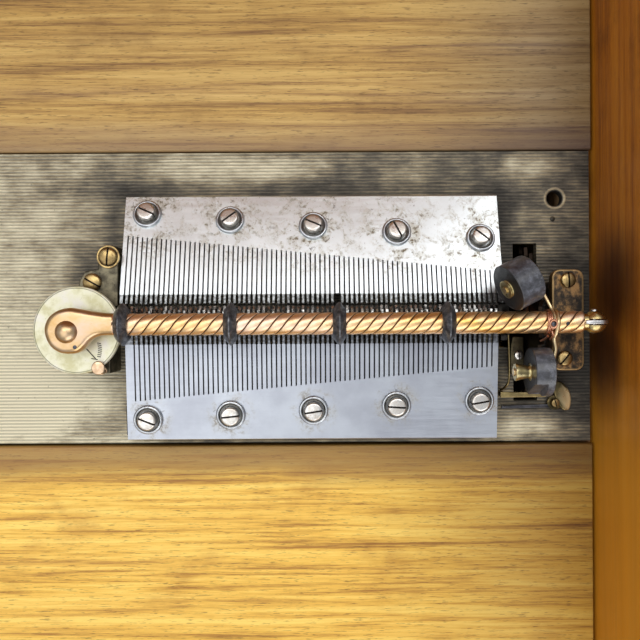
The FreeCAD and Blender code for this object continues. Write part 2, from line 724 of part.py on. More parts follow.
def along_drum(centre, way, distance):
    """A point on a drum's axis, a distance towards its right-hand end."""
    return V(*centre) + way * distance


def edge_roller(name, centre, way, edge, flare):
    """A rubber drum on a flared brass hub, both turning on one axle."""
    hub = size("hub_radius")
    drum_profile = [("drum_radius", -edge), ("drum_radius", edge)]
    hub_profile = [(hub + 0.3, -edge - flare), (hub - 0.5, -edge - flare / 5), (hub, -edge), (hub, edge)]
    axle_bore = size("axle_radius") + size("running")
    shapes = (
        (f"edge_roller_{name}", faceted(f"drum_{name}", "Z", (0, 0, 0), drum_profile, 24, hub)),
        (f"edge_hub_{name}", faceted(f"hub_{name}", "Z", (0, 0, 0), hub_profile, 16, axle_bore)),
    )
    for label, shape in shapes:
        holder = grouped(label + "_placed", shape)
        holder.Placement = FreeCAD.Placement(V(*centre), FreeCAD.Rotation(V(0, 0, 1), way))
        node(label, holder)


edge_roller("rear", REAR_CENTRE, REAR_WAY, half_rear, 1.4)
edge_roller("front", FRONT_CENTRE, FRONT_WAY, half_front, 6.4)
band = size("bar_radius") + 2.2
clamp_ring = faceted("clamp_ring", "X", (clamp_x - 1.8, "bar_y", "bar_z"), [(band, 0), (band, 3.6)], 18)
grasp = size("bar_radius") / math.cos(math.pi / 18)
clamp_bore = faceted("clamp_bore", "X", (clamp_x - 3, "bar_y", "bar_z"), [(grasp, 0), (grasp, 6)], 18)
rear_start = along_drum(REAR_CENTRE, REAR_WAY, -half_rear - 2.2)
rear_stop = along_drum(REAR_CENTRE, REAR_WAY, half_rear + 3)
rear_axle = wire("rear_axle", rear_start, rear_stop, "axle_radius")
front_start = along_drum(FRONT_CENTRE, FRONT_WAY, -half_front - 7.4)
front_stop = along_drum(FRONT_CENTRE, FRONT_WAY, half_front + 3)
front_axle = wire("front_axle", front_start, front_stop, "axle_radius")
rear_end = along_drum(REAR_CENTRE, REAR_WAY, half_rear + 2)
front_end = along_drum(FRONT_CENTRE, FRONT_WAY, half_front + 2.1)
rear_arm = strand("rear_arm", rear_end, (clamp_x, bar_y + 5.2, size("bar_z") + 1.5), 1.1)
front_arm = strand("front_arm", front_end, (clamp_x + 0.9, bar_y - 5.2, size("bar_z") + 1.5), 1.1)
clamp_blank = joined("clamp_blank", clamp_ring, rear_axle, front_axle, rear_arm, front_arm, refine=False)
clamp_shape = cut("clamp", clamp_blank, clamp_bore)
node("roller_clamp", clamp_shape)

# Gears. Teeth are straight-sided; a mating gear is turned so that its gap faces the other's tooth.
module = size("gear_module")
WHEEL_TEETH = 42
PINION_TEETH = 8


def tooth_ring(x, centre, teeth_count, phase, tip, root, tip_share, root_share):
    """A toothed outline in a plane across X: each tooth has two root and two tip corners."""
    corners = []
    step = 2 * math.pi / teeth_count
    for k in range(teeth_count):
        middle = phase + k * step
        for radius, share in ((root, -root_share), (tip, -tip_share), (tip, tip_share), (root, root_share)):
            angle = middle + share * step / 2
            corners.append((x, centre[0] + radius * math.cos(angle), centre[1] + radius * math.sin(angle)))
    return corners


def pointed_ring(x, centre, teeth_count, phase, tip, deep, root_share):
    """An outline in a plane across X whose teeth come to points."""
    corners = []
    step = 2 * math.pi / teeth_count
    for k in range(teeth_count):
        for radius, share in ((tip - deep, -root_share), (tip, 0), (tip - deep, root_share)):
            angle = phase + (k + share / 2) * step
            corners.append((x, centre[0] + radius * math.cos(angle), centre[1] + radius * math.sin(angle)))
    return corners


def gear(name, x, centre, count, phase, wide):
    """A gear across X with addendum 0.85 and dedendum 1.05 of the module."""
    radius = module * count / 2
    return prism(
        name,
        tooth_ring(x, centre, count, phase, radius + 0.85 * module, radius - 1.05 * module, 0.2, 0.62),
        (1, 0, 0), wide,
    )


def mating_phase(direction, phase, count, mate_count):
    """The mate's tooth angle, for a mate that lies in a direction from the first gear's centre."""
    step = 2 * math.pi / count
    offset = (phase - direction + step / 2) % step - step / 2
    shift = offset * count * module / 2 + math.pi * module / 2
    return direction + math.pi - shift / (mate_count * module / 2)


drive_centre = (bar_y, size("sprocket_z"))
centre_gap = module * (WHEEL_TEETH + PINION_TEETH) / 2
barrel_centre = (bar_y, size("sprocket_z") - centre_gap)
MID_DIRECTION = math.radians(164.0)
mid_centre = (
    barrel_centre[0] + centre_gap * math.cos(MID_DIRECTION),
    barrel_centre[1] + centre_gap * math.sin(MID_DIRECTION),
)
WHEEL_PHASE = math.pi / 2
gear_x0 = size("gear_x") - size("gear_wide") / 2
drive_phase = mating_phase(math.pi / 2, WHEEL_PHASE, WHEEL_TEETH, PINION_TEETH)
mid_phase = mating_phase(MID_DIRECTION, WHEEL_PHASE, WHEEL_TEETH, PINION_TEETH)

# The spring barrel, with the great wheel round its right-hand end.
plate_left = edge_x - 78
plate_right = edge_x + 6.5
barrel_x0 = gear_x0 - size("barrel_wide")
drum_shell = faceted(
    "drum_shell", "X", (barrel_x0, *barrel_centre),
    [("barrel_radius", 0), ("barrel_radius", "barrel_wide")], 32,
)
great_wheel = gear("great_wheel", gear_x0, barrel_centre, WHEEL_TEETH, WHEEL_PHASE, "gear_wide")
barrel_bore = bored(
    "barrel_bore", "X", (barrel_x0 - 1, *barrel_centre), "arbor_radius",
    size("barrel_wide") + size("gear_wide") + 2, 16,
)
node("spring_barrel", cut("barrel", joined("barrel_blank", drum_shell, great_wheel), barrel_bore))

# The drive shaft carries the pinion and the sprocket that turns the disc by its edge.
shaft_start = plate_left - 1
shaft_length = plate_right + size("plate_thick") + 1 - shaft_start
shaft_rod = rod("shaft_rod", "X", (shaft_start, *drive_centre), "shaft_radius", shaft_length)
drive_pinion = gear("drive_pinion", gear_x0, drive_centre, PINION_TEETH, drive_phase, "gear_wide")
node("drive_shaft", joined("shaft", shaft_rod, drive_pinion))
SPROCKET_TEETH = 24
ring = pointed_ring(
    edge_x - size("sprocket_thick") / 2, drive_centre, SPROCKET_TEETH, math.pi / 2,
    size("sprocket_radius"), 3.6, 0.4,
)
sprocket_disc = prism("sprocket_disc", ring, (1, 0, 0), "sprocket_thick")
snug = size("shaft_radius") / math.cos(math.pi / 12)
sprocket_bore = faceted("sprocket_bore", "X", (edge_x - 5, *drive_centre), [(snug, 0), (snug, 10)], 12)
node("drive_sprocket", cut("sprocket", sprocket_disc, sprocket_bore))

# The middle arbor takes its turn from the great wheel and drives the governor's worm.
FLY_TEETH = 24
fly_wheel_radius = 20.0
mid_wheel_x = size("gear_x") + size("gear_wide") / 2 + 1.2
mid_radius = size("shaft_radius") - 0.5
mid_rod = faceted(
    "mid_rod", "X", (shaft_start, *mid_centre), [(mid_radius, 0), (mid_radius, shaft_length)], 8,
)
mid_pinion = gear("mid_pinion", gear_x0, mid_centre, PINION_TEETH, mid_phase, "gear_wide")
wheel_ring = pointed_ring(mid_wheel_x, mid_centre, FLY_TEETH, 0, fly_wheel_radius, 2.2, 0.6)
mid_wheel = prism("mid_wheel", wheel_ring, (1, 0, 0), 2.5)
node("middle_arbor", joined("mid_arbor", mid_rod, mid_pinion, mid_wheel))
worm_x = mid_wheel_x + 1.25
worm_y = mid_centre[0] - fly_wheel_radius - 3.4
fly_low = barrel_centre[1] - 46
fly_high = size("bed_under") - 6
fly_rod = faceted(
    "fly_rod", "Z", (worm_x, worm_y, fly_low - 3.5), [(1.5, 0), (1.5, fly_high - fly_low + 7)], 8,
)
worm = faceted("worm", "Z", (worm_x, worm_y, mid_centre[1] - 9), [(3, 0), (3, 18)], 10)
blade = block(
    "blade", (worm_x - 13, worm_x + 13), (worm_y - 0.4, worm_y + 0.4), (fly_low + 4, fly_low + 22),
)
node("governor_fly", joined("fly", fly_rod, worm, blade))


# Two plates hang under the bed and hold the barrel, the shafts and the governor.
def motor_plate(name, x0):
    """One plate with its bearing holes."""
    through = size("plate_thick") + 2
    blank = block(
        name + "_blank", (x0, f"{x0} + plate_thick"), ("bar_y - 56", "bar_y + 50"),
        (f"{barrel_z} - 30", "bed_under"),
    )
    holes = [
        bored(name + "_barrel_hole", "X", (x0 - 1, *barrel_centre), "arbor_radius", through, 14),
        bored(name + "_shaft_hole", "X", (x0 - 1, *drive_centre), "shaft_radius", through, 12),
        rod(
            name + "_middle_hole", "X", (x0 - 1, *mid_centre), "shaft_radius - 0.5 + running",
            "plate_thick + 2",
        ),
    ]
    return blank, holes


left_blank, left_holes = motor_plate("left_plate", plate_left)
right_blank_plate, right_holes = motor_plate("right_plate", plate_right)
cock_x = (worm_x - 5, plate_right + 1)
cock_y = (worm_y - 5, "bar_y - 55")
top_cock = block("top_cock", cock_x, cock_y, (fly_high, fly_high + 4))
low_cock = block("low_cock", cock_x, cock_y, (fly_low - 4, fly_low))
low_link = block(
    "low_link", (plate_right, plate_right + size("plate_thick")), ("bar_y - 56", "bar_y - 46"),
    (fly_low - 4, f"{barrel_z} - 29"),
)
fly_bore = rod("fly_bore", "Z", (worm_x, worm_y, 0), "1.5 + running", "bed_top")
click_pin = rod(
    "click_pin", "X",
    (f"{plate_right} + plate_thick - 1", barrel_centre[0] + 19, barrel_centre[1] + 12), 1.6, 7,
)
right_solid = joined("right_solid", right_blank_plate, top_cock, low_cock, low_link, click_pin)
plates = [
    cut("left_plate", left_blank, *left_holes),
    cut("right_plate", right_solid, *right_holes, fly_bore),
]
pillar_x = plate_left + size("plate_thick")
pillar_length = plate_right - pillar_x
for k, (y, z) in enumerate(((-48, -24), (44, -24), (44, 40))):
    ends = [(3, 0), (3, pillar_length)]
    plates.append(faceted(
        f"pillar_{k}", "X", (pillar_x, barrel_centre[0] + y, barrel_centre[1] + z), ends, 8,
    ))
node("motor_frame", grouped("motor_parts", *plates))

# Winding: the arbor with its ratchet, the click, the bush in the wall, the crank and its grip.
arbor_start = plate_left - 1.5
arbor_end = size("out_x") + 26
arbor_rod = rod("arbor_rod", "X", (arbor_start, *barrel_centre), "arbor_radius", arbor_end - arbor_start)
ratchet_x = plate_right + size("plate_thick") + 1.2
RATCHET_TEETH = 12
ratchet_points = []
for k in range(RATCHET_TEETH):
    for radius, share in ((11.0, 0.0), (14.0, 0.0)):
        angle = 2 * math.pi * (k + share) / RATCHET_TEETH
        ratchet_points.append((
            ratchet_x, barrel_centre[0] + radius * math.cos(angle),
            barrel_centre[1] + radius * math.sin(angle),
        ))
ratchet = prism("ratchet", ratchet_points, (1, 0, 0), 3.5)
node("winding_arbor", joined("arbor", arbor_rod, ratchet))
click_hub = (barrel_centre[0] + 19, barrel_centre[1] + 12)
click_corners = [
    (17, 8.8), (22.4, 10), (22.4, 15), (17, 16.5), (8, 19.8), (2, 19.4), (
        0.6, 15.4,
    ), (2.6, 15.2), (4.4, 16.2), (10, 14.6),
]
click_outline = [(ratchet_x, barrel_centre[0] + y, barrel_centre[1] + z) for y, z in click_corners]
click_blank = prism("click_blank", click_outline, (1, 0, 0), 3.0)
click_bore = bored("click_bore", "X", (ratchet_x - 1, *click_hub), 1.6, 6, 8)
node("click", cut("click_lever", click_blank, click_bore))
wall = size("wall")
arbor = size("arbor_radius")
bush_profile = [(arbor + 3, -wall), (arbor + 3, 0), (arbor + 10, 0), (arbor + 9, 1.8)]
node(
    "crank_bush",
    faceted("bush", "X", ("out_x", *barrel_centre), bush_profile, 16, arbor + size("running")),
)
arm_x = size("out_x") + size("plinth_step") + 1.5
crank_hub = faceted("crank_hub", "X", (arm_x - 9, *barrel_centre), [(9, 0), (9, 15)], 16)
crank_corners = [
    (
        arm_x, barrel_centre[0] - size("crank_reach") - 6, barrel_centre[1] - 5,
    ), (arm_x, barrel_centre[0] - size("crank_reach") - 6, barrel_centre[1] + 5),
    (arm_x, barrel_centre[0], barrel_centre[1] + 7.5), (arm_x, barrel_centre[0], barrel_centre[1] - 7.5),
]
crank_web = prism("crank_web", crank_corners, (1, 0, 0), 6)
pin_y = barrel_centre[0] - size("crank_reach")
grip_long = size("grip_long")
crank_pin = rod("crank_pin", "X", (arm_x + 5, pin_y, barrel_centre[1]), 3, grip_long + 2.2)
crank_cap = faceted(
    "crank_cap", "X", (arm_x + 6.8 + grip_long, pin_y, barrel_centre[1]),
    [(5, 0), (5, 1.2), (3.6, 1.8)], 12,
)
hole_ends = [(arbor / math.cos(math.pi / 16), 0), (arbor / math.cos(math.pi / 16), arbor_end - arm_x + 10)]
crank_hole = faceted("crank_hole", "X", (arm_x - 10, *barrel_centre), hole_ends, 16)
node(
    "crank_arm",
    cut("crank", joined("crank_blank", crank_hub, crank_web, crank_pin, crank_cap), crank_hole),
)
grip = size("grip_radius")
grip_shape = (
    (0.7, 0), (0.62, 0.09), (0.8, 0.27), (0.95, 0.45), (1.0, 0.68), (0.93, 0.86), (0.78, 0.96),
    (0.6, 1.0),
)
grip_profile = [(grip * wide, grip_long * share) for wide, share in grip_shape]
grip_place = (arm_x + 6.4, pin_y, barrel_centre[1])
node("crank_grip", faceted("grip", "X", grip_place, grip_profile, 16, 3 + size("running")))

# The start and stop lever on the bed, in front of the window.
stop_pivot = (size("disc_radius") + 13.0, bar_y - 38.0)
stop_hub = faceted("stop_hub", "Z", (*stop_pivot, "bed_top + 0.4"), [(4, 0), (4, 3)], 16)
stop_strip = block(
    "stop_strip", (edge_x - 12.0, edge_x + 13.0), (stop_pivot[1] - 3.9, stop_pivot[1] - 2.7),
    ("bed_top + 0.4", "bed_top + 3.6"),
)
finger_corners = [
    (edge_x + 12.0, stop_pivot[1] - 3), (edge_x + 20.5, stop_pivot[1] - 1),
    (edge_x + 20.5, stop_pivot[1] + 13), (edge_x + 17.5, stop_pivot[1] + 13),
    (edge_x + 16, stop_pivot[1] + 3),
]
stop_finger = prism("stop_finger", [(x, y, 0) for x, y in finger_corners], (0, 0, 1), 2)
place(stop_finger, 0, 0, "bed_top + 1.2")
stop_bore = bored("stop_bore", "Z", (*stop_pivot, "bed_top"), 1.5, 8, 10)
node("start_lever", cut("stop_lever", joined("stop_blank", stop_hub, stop_strip, stop_finger), stop_bore))

# The lid, drawn closed and turned back about its hinges.
rails = {
    "lid_front": (("-out_x", "out_x"), ("-out_y", "lid_wall - out_y")),
    "lid_back": (("-out_x", "out_x"), ("out_y - lid_wall", "out_y")),
    "lid_left": (("-out_x", "lid_wall - out_x"), ("lid_wall - out_y", "out_y - lid_wall")),
    "lid_right": (("out_x - lid_wall", "out_x"), ("lid_wall - out_y", "out_y - lid_wall")),
}


def opened(name, *pieces):
    """Pieces drawn with the lid closed, turned back with it about the hinge pins."""
    holder = grouped(name, *pieces)
    turn = "lid_angle"
    holder.Placement = FreeCAD.Placement(V(), FreeCAD.Rotation(V(-1, 0, 0), size("lid_angle")))
    holder.setExpression("Placement.Rotation.Angle", named(turn))
    holder.setExpression(
        "Placement.Base.y",
        named(f"lid_pivot_y - (lid_pivot_y * cos({turn}) + lid_pivot_z * sin({turn}))"),
    )
    holder.setExpression(
        "Placement.Base.z",
        named(f"lid_pivot_z - (lid_pivot_z * cos({turn}) - lid_pivot_y * sin({turn}))"),
    )
    return holder


for label, (x, y) in rails.items():
    node(label, opened(label + "_open", block(label + "_rail", x, y, ("lid_low", "lid_high - lid_board"))))
panel_x = ("-out_x - lid_over", "out_x + lid_over")
panel_y = ("-out_y - lid_over", "out_y + lid_over")
panel = block("panel", panel_x, panel_y, ("lid_high - lid_board", "lid_high"))
node("lid_panel", opened("panel_open", panel))
fixed = []
moving = []
for side in (-1, 1):
    x0 = f"{side} * hinge_x - hinge_width / 2"
    name = "right" if side > 0 else "left"
    third = "hinge_width / 3"
    case_leaf = block(
        f"case_leaf_{name}", (x0, f"{x0} + hinge_width"), ("out_y", "out_y + 2"),
        ("rim_height - 20", "rim_height - knuckle_radius - 0.5"),
    )
    neck_x = (f"{x0} + {third} + 0.2", f"{x0} + 2 * {third} - 0.2")
    case_neck = block(
        f"case_neck_{name}", neck_x, ("out_y", "out_y + 2"), ("rim_height - 6", "lid_pivot_z"),
    )
    knuckle_ends = [("knuckle_radius", 0), ("knuckle_radius", size("hinge_width") / 3 - 0.4)]
    case_knuckle = faceted(
        f"case_knuckle_{name}", "X", (neck_x[0], "lid_pivot_y", "lid_pivot_z"), knuckle_ends, 10,
    )
    case_pin = rod(f"case_pin_{name}", "X", (x0, "lid_pivot_y", "lid_pivot_z"), "pin_radius", "hinge_width")
    fixed.append(joined(f"case_hinge_{name}", case_leaf, case_neck, case_knuckle, case_pin))
    lid_leaf = block(
        f"lid_leaf_{name}", (x0, f"{x0} + hinge_width"), ("out_y", "out_y + 2"),
        ("lid_low + knuckle_radius + 0.3", "lid_low + 20"),
    )
    solids = [lid_leaf]
    for k, (
        low, high,
    ) in enumerate(((x0, f"{x0} + {third} - 0.2"), (f"{x0} + 2 * {third} + 0.2", f"{x0} + hinge_width"))):
        solids.append(block(
            f"lid_neck_{name}_{k}", (low, high), ("out_y", "out_y + 2"),
            ("lid_pivot_z", "lid_low + 6"),
        ))
        knuckle_ends = [("knuckle_radius", 0), ("knuckle_radius", size("hinge_width") / 3 - 0.2)]
        solids.append(faceted(
            f"lid_knuckle_{name}_{k}", "X", (low, "lid_pivot_y", "lid_pivot_z"), knuckle_ends, 10,
        ))
    pin_bore = bored(
        f"lid_bore_{name}", "X", (f"{x0} - 1", "lid_pivot_y", "lid_pivot_z"), "pin_radius",
        size("hinge_width") + 2, 10,
    )
    moving.append(cut(f"lid_hinge_{name}", joined(f"lid_hinge_blank_{name}", *solids), pin_bore))
node("lid_hinges", grouped("case_hinges", *fixed))
node("lid_leaves", opened("lid_hinges_open", *moving))

# Recompute, test every object and write one file per piece.
doc.recompute()
bad = [obj.Name for obj in doc.Objects if "Invalid" in obj.State or "Error" in obj.State]
if bad:
    raise RuntimeError("objects with errors: " + ", ".join(bad))
os.makedirs("parts", exist_ok=True)
for obj in NODES:
    shape = obj.Shape
    if shape.isNull() or not shape.isValid() or not shape.Solids:
        raise RuntimeError("no valid solid for " + obj.Label)
    shape.exportStep(f"parts/{obj.Label}.step")
    box = shape.BoundBox
    extent = f"{box.XLength:.1f} x {box.YLength:.1f} x {box.ZLength:.1f}"
    print(f"{obj.Label}: {len(shape.Solids)} solids, {shape.Volume:.0f} mm3, {extent} mm")
print(len(NODES), "pieces")
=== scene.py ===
# %% [markdown]
# # A disc music box, seen from above
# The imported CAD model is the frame: it says where every piece is and how it moves. This lesson adds what the eye
# sees, one piece or finish at a time. Shapes are worked out as whole numpy arrays in millimetres, and turned into
# Blender's metres when the mesh is made.

import math

import bmesh
import bpy
import numpy as np
from mathutils import Matrix, Vector


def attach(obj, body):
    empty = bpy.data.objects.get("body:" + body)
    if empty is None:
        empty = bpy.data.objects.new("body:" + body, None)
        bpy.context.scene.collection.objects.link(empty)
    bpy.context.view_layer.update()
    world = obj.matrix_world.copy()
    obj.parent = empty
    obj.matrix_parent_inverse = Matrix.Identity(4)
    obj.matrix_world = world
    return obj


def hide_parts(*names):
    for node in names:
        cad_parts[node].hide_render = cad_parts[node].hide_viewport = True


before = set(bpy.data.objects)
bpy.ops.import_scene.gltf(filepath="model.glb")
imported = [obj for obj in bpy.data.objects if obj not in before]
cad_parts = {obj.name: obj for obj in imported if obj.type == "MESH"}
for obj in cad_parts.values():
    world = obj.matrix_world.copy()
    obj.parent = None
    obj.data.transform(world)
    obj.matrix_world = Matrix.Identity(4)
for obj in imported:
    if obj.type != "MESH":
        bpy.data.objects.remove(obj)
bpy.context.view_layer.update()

# %% [markdown]
# ## Camera, light and floor
# The photograph looks straight down from about 320 mm above the disc's plane, so the camera does too. The lamps
# are large and soft. A bright panel towards the rear makes the rear comb shine, because that comb leans that way,
# and leaves the front comb greyer, as in the photograph.

# %% Camera
MM = 0.001
LENS_MM, FILM_MM = 41.14, 36.0
EYE = (0.10675, 0.0039, 0.487)
PHOTO_TURN = math.radians(-0.33)
scene = bpy.context.scene
scene.view_settings.view_transform = "Standard"
lens = bpy.data.cameras.new("camera")
lens.lens = LENS_MM
lens.sensor_width = FILM_MM
lens.clip_start = 0.01
camera = bpy.data.objects.new("camera", lens)
camera.location = EYE
camera.rotation_euler = (0.0, 0.0, PHOTO_TURN)
scene.collection.objects.link(camera)
scene.camera = camera


# %% Lamps and world
def soft_lamp(name, place, aim, width, deep, watts):
    """A rectangular lamp at a place in metres, turned to face a point."""
    data = bpy.data.lights.new(name, "AREA")
    data.shape = "RECTANGLE"
    data.size = width
    data.size_y = deep
    data.energy = watts
    lamp = bpy.data.objects.new(name, data)
    lamp.location = place
    lamp.rotation_euler = (Vector(aim) - Vector(place)).to_track_quat("-Z", "Y").to_euler()
    scene.collection.objects.link(lamp)


MOVEMENT = (0.1, 0.0, 0.15)
soft_lamp("rear_window", (0.10, 0.62, 1.45), MOVEMENT, 1.8, 0.8, 12.0)
soft_lamp("high_panel", (-0.5, -0.3, 1.6), MOVEMENT, 1.2, 1.2, 6.0)
soft_lamp("front_fill", (0.5, -1.5, 1.2), (0.0, 0.0, 0.15), 1.6, 1.0, 12.0)

world = bpy.data.worlds.new("studio")
scene.world = world
world.use_nodes = True
world.node_tree.nodes["Background"].inputs["Color"].default_value = (0.93, 0.95, 1.0, 1.0)
world.node_tree.nodes["Background"].inputs["Strength"].default_value = 0.5
print("camera", tuple(camera.location), "and three lamps")


# %% [markdown]
# ## Mesh tools
# Every new piece comes from one of a few array recipes: rings of points skinned into a tube or a turned shape, an
# outline thickened with eased rims, or a plate drawn on a grid with some of its cells left out.

# %% From arrays to pieces
def piece(name, shape, finish, body, nodes=(), crease=35.0, layers=None):
    """Make a mesh from (points in mm, blocks of faces), close its seams and poles, and turn every shell outwards."""
    points, blocks = shape
    mesh = bpy.data.meshes.new(name)
    mesh.from_pydata((np.asarray(points, float) * MM).tolist(), [], sum(
        (block.tolist() for block in blocks), [],
    ))
    for key, values in (layers or {}).items():
        mesh.attributes.new(key, "FLOAT", "POINT").data.foreach_set(
            "value", np.asarray(values, np.float32).ravel(),
        )
    work = bmesh.new()
    work.from_mesh(mesh)
    bmesh.ops.remove_doubles(work, verts=work.verts, dist=2e-6)
    bmesh.ops.dissolve_degenerate(work, edges=work.edges, dist=1e-6)
    bmesh.ops.recalc_face_normals(work, faces=work.faces)
    work.to_mesh(mesh)
    work.free()
    mesh.shade_smooth()
    mesh.set_sharp_from_angle(angle=math.radians(crease))
    mesh.materials.append(finish)
    made = bpy.data.objects.new(name, mesh)
    scene.collection.objects.link(made)
    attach(made, body)
    if nodes:
        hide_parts(*nodes)
    print(name, len(mesh.polygons), "faces on", body)


def gather(*shapes):
    """Several closed shells as one shape: their points in a row, and each one's faces counted on."""
    points = np.concatenate([np.asarray(p, float).reshape(-1, 3) for p, _ in shapes])
    starts = np.cumsum([0] + [len(p) for p, _ in shapes])
    return points, [block + start for (_, blocks), start in zip(shapes, starts) for block in blocks]


def skin(rings, closed=False):
    """Quads between neighbours in an array of rings (rows, around, 3), and a flat face over each open end."""
    rows, around = rings.shape[:2]
    row, col = np.meshgrid(np.arange(rows if closed else rows - 1), np.arange(around), indexing="ij")
    up, side = (row + 1) % rows, (col + 1) % around
    net = np.stack([row * around + col, row * around + side, up * around + side, up * around + col], -1)
    blocks = [net.reshape(-1, 4)]
    if not closed:
        blocks += [np.arange(around)[None, ::-1], np.arange(around)[None] + (rows - 1) * around]
    return rings.reshape(-1, 3), blocks


# %% Turned, thickened and drawn shapes
def softened(corners, reach, steps=4, closed=True):
    """Corners rounded off: point = (1-t)^2 before + 2t(1-t) corner + t^2 after, up to `reach` along each side."""
    corners = np.asarray(corners, float)
    before = np.roll(corners, 1, 0) - corners
    after = np.roll(corners, -1, 0) - corners
    t = np.linspace(0, 1, steps)[None, :, None]
    ends = []
    for side in (before, after):
        long = np.linalg.norm(side, axis=1, keepdims=True)
        share = np.minimum(reach, 0.45 * long) / np.maximum(long, 1e-9)
        ends.append((corners + side * share)[:, None])
    curve = (1 - t) ** 2 * ends[0] + 2 * t * (1 - t) * corners[:, None] + t**2 * ends[1]
    flat = curve.reshape(-1, corners.shape[1])
    if closed:
        return flat
    return np.concatenate([corners[:1], flat[steps:-steps], corners[-1:]])


def turned(profile, sides=48, ring=False):
    """A lathe shape about Z: point = (r cos t, r sin t, d) for each corner (r, d) of the profile."""
    r, d = np.asarray(profile, float).T
    t = 2 * np.pi * np.arange(sides) / sides
    rings = np.stack([r[:, None] * np.cos(t), r[:, None] * np.sin(t), d[:, None] + 0 * t], -1)
    return skin(rings, closed=ring)


def slab(outline, low, high, ease=0.4, steps=4, lip=0.0):
    """An outline in plan between two heights: near each rim a ring steps in by ease(1 - cos a) as it climbs by
    ease sin a. A lip adds one more ring on top, further in, where a painted rim can fade out."""
    outline = np.asarray(outline, float)
    along = np.roll(outline, -1, 0) - np.roll(outline, 1, 0)
    area = np.sum(outline[:, 0] * np.roll(outline[:, 1], -1) - outline[:, 1] * np.roll(outline[:, 0], -1))
    out = np.stack([along[:, 1], -along[:, 0]], 1) * np.sign(area)
    out /= np.maximum(np.linalg.norm(out, axis=1, keepdims=True), 1e-9)
    a = np.linspace(0, np.pi / 2, steps)
    inset = ease * (1 - np.cos(a))
    climb = ease * np.sin(a)
    insets = np.concatenate([inset[::-1], inset, [ease + lip] if lip else []])
    heights = np.concatenate([low + ease - climb[::-1], high - ease + climb, [high] if lip else []])
    plan = outline[None] - insets[:, None, None] * out[None]
    return skin(np.concatenate([plan, np.broadcast_to(heights[:, None, None], plan.shape[:2] + (1,))], -1))


def smooth_line(points, steps=8):
    """A smooth line through points: each stretch blends its four neighbours with cubic weights."""
    p = np.asarray(points, float)
    p = np.concatenate([2 * p[:1] - p[1:2], p, 2 * p[-1:] - p[-2:-1]])
    t = np.linspace(0, 1, steps, endpoint=False)[None, :, None]
    a, b, c, d = (p[k : len(p) - 3 + k][:, None] for k in range(4))
    curve = b + 0.5 * t * (c - a + t * (2 * a - 5 * b + 4 * c - d + t * (3 * (b - c) + d - a)))
    return np.concatenate([curve.reshape(-1, p.shape[1]), p[-2:-1]])


def wire(points, radius, sides=12, steps=8, up=(0.0, 0.0, 1.0)):
    """A round wire: circles square to a smooth line through the points, their sides set by an upward hint."""
    line = smooth_line(points, steps) if steps else np.asarray(points, float)
    way = np.gradient(line, axis=0)
    way /= np.linalg.norm(way, axis=1, keepdims=True)
    over = np.asarray(up, float) - (way @ np.asarray(up, float))[:, None] * way
    over /= np.linalg.norm(over, axis=1, keepdims=True)
    beside = np.cross(way, over)
    t = 2 * np.pi * np.arange(sides) / sides
    wide = np.broadcast_to(np.asarray(radius, float), (len(line),))[:, None, None]
    rings = line[
        :, None,
    ] + wide * (np.cos(t)[None, :, None] * over[:, None] + np.sin(t)[None, :, None] * beside[:, None])
    return skin(rings)


def plate(x, y, top, low, kept):
    """A closed plate on a grid: a top and a bottom over the kept cells, and a wall wherever a kept cell has no kept
    neighbour."""
    x, y, top, low = np.broadcast_arrays(x, y, top, low)
    count = x.size
    index = np.arange(count).reshape(x.shape)
    i, j = np.nonzero(kept)
    corner = {"a": index[i, j], "b": index[i + 1, j], "c": index[i + 1, j + 1], "d": index[i, j + 1]}
    blocks = [np.stack([corner[k] for k in "abcd"], 1), np.stack([corner[k] for k in "dcba"], 1) + count]
    around = np.pad(kept, 1)
    for (di, dj), (first, second) in {(-1, 0): "da", (1, 0): "bc", (0, -1): "ab", (0, 1): "cd"}.items():
        edge = ~around[i + 1 + di, j + 1 + dj]
        start, end = corner[first][edge], corner[second][edge]
        blocks.append(np.stack([end, start, start + count, end + count], 1))
    points = np.concatenate([np.stack([x, y, z], -1).reshape(-1, 3) for z in (top, low)])
    used, place = np.unique(np.concatenate([block.ravel() for block in blocks]), return_inverse=True)
    sizes = np.cumsum([block.size for block in blocks])[:-1]
    return points[used], [part.reshape(-1, 4) for part in np.split(place.ravel(), sizes)], used


def peg(radius, long, sides=20):
    """A plain round post about Z, standing on z = 0."""
    return turned([(0.01, 0), (radius, 0), (radius, long), (0.01, long)], sides)


def stood(shape, centre, toward=(0, 0, 1), turn=0.0):
    """A shape drawn about Z, turned in plan by degrees, leaned so that Z points along a direction, and moved."""
    lean = Vector((0, 0, 1)).rotation_difference(Vector(toward)).to_matrix() @ Matrix.Rotation(
        math.radians(turn), 3, "Z",
    )
    return np.asarray(shape[0]) @ np.array(lean).T + np.asarray(centre, float), shape[1]


def slotted(radius, deep, slot=0.8, cut=1.1, dome=0.35, rows=17):
    """A screw head about Z: chords across the slot, with height = deep, falling by dome towards the rim, less the cut
    inside the slot. Two chords share each slot edge, one high and one low, so that its walls are upright."""
    half = slot / 2
    side = radius * np.sin(np.linspace(math.asin(half / radius), np.pi / 2, 9))
    across = np.concatenate([-side[::-1], [-half, 0, half], side])
    inside = np.zeros(len(across), bool)
    inside[9:12] = True
    run = np.sin(np.linspace(-np.pi / 2, np.pi / 2, rows))
    x = np.broadcast_to(across[:, None], (len(across), rows))
    y = run[None] * np.sqrt(np.maximum(radius**2 - x**2, 0))
    share = np.sqrt(x**2 + y**2) / radius
    top = deep - dome * share**2 - 0.35 * np.clip((share - 0.86) / 0.14, 0, 1) ** 2 - cut * inside[:, None]
    points, blocks, used = plate(x, y, top, 0 * x, np.ones((len(across) - 1, rows - 1), bool))
    return points, blocks, (np.broadcast_to(inside[:, None], x.shape).ravel()[used % x.size]).astype(float)


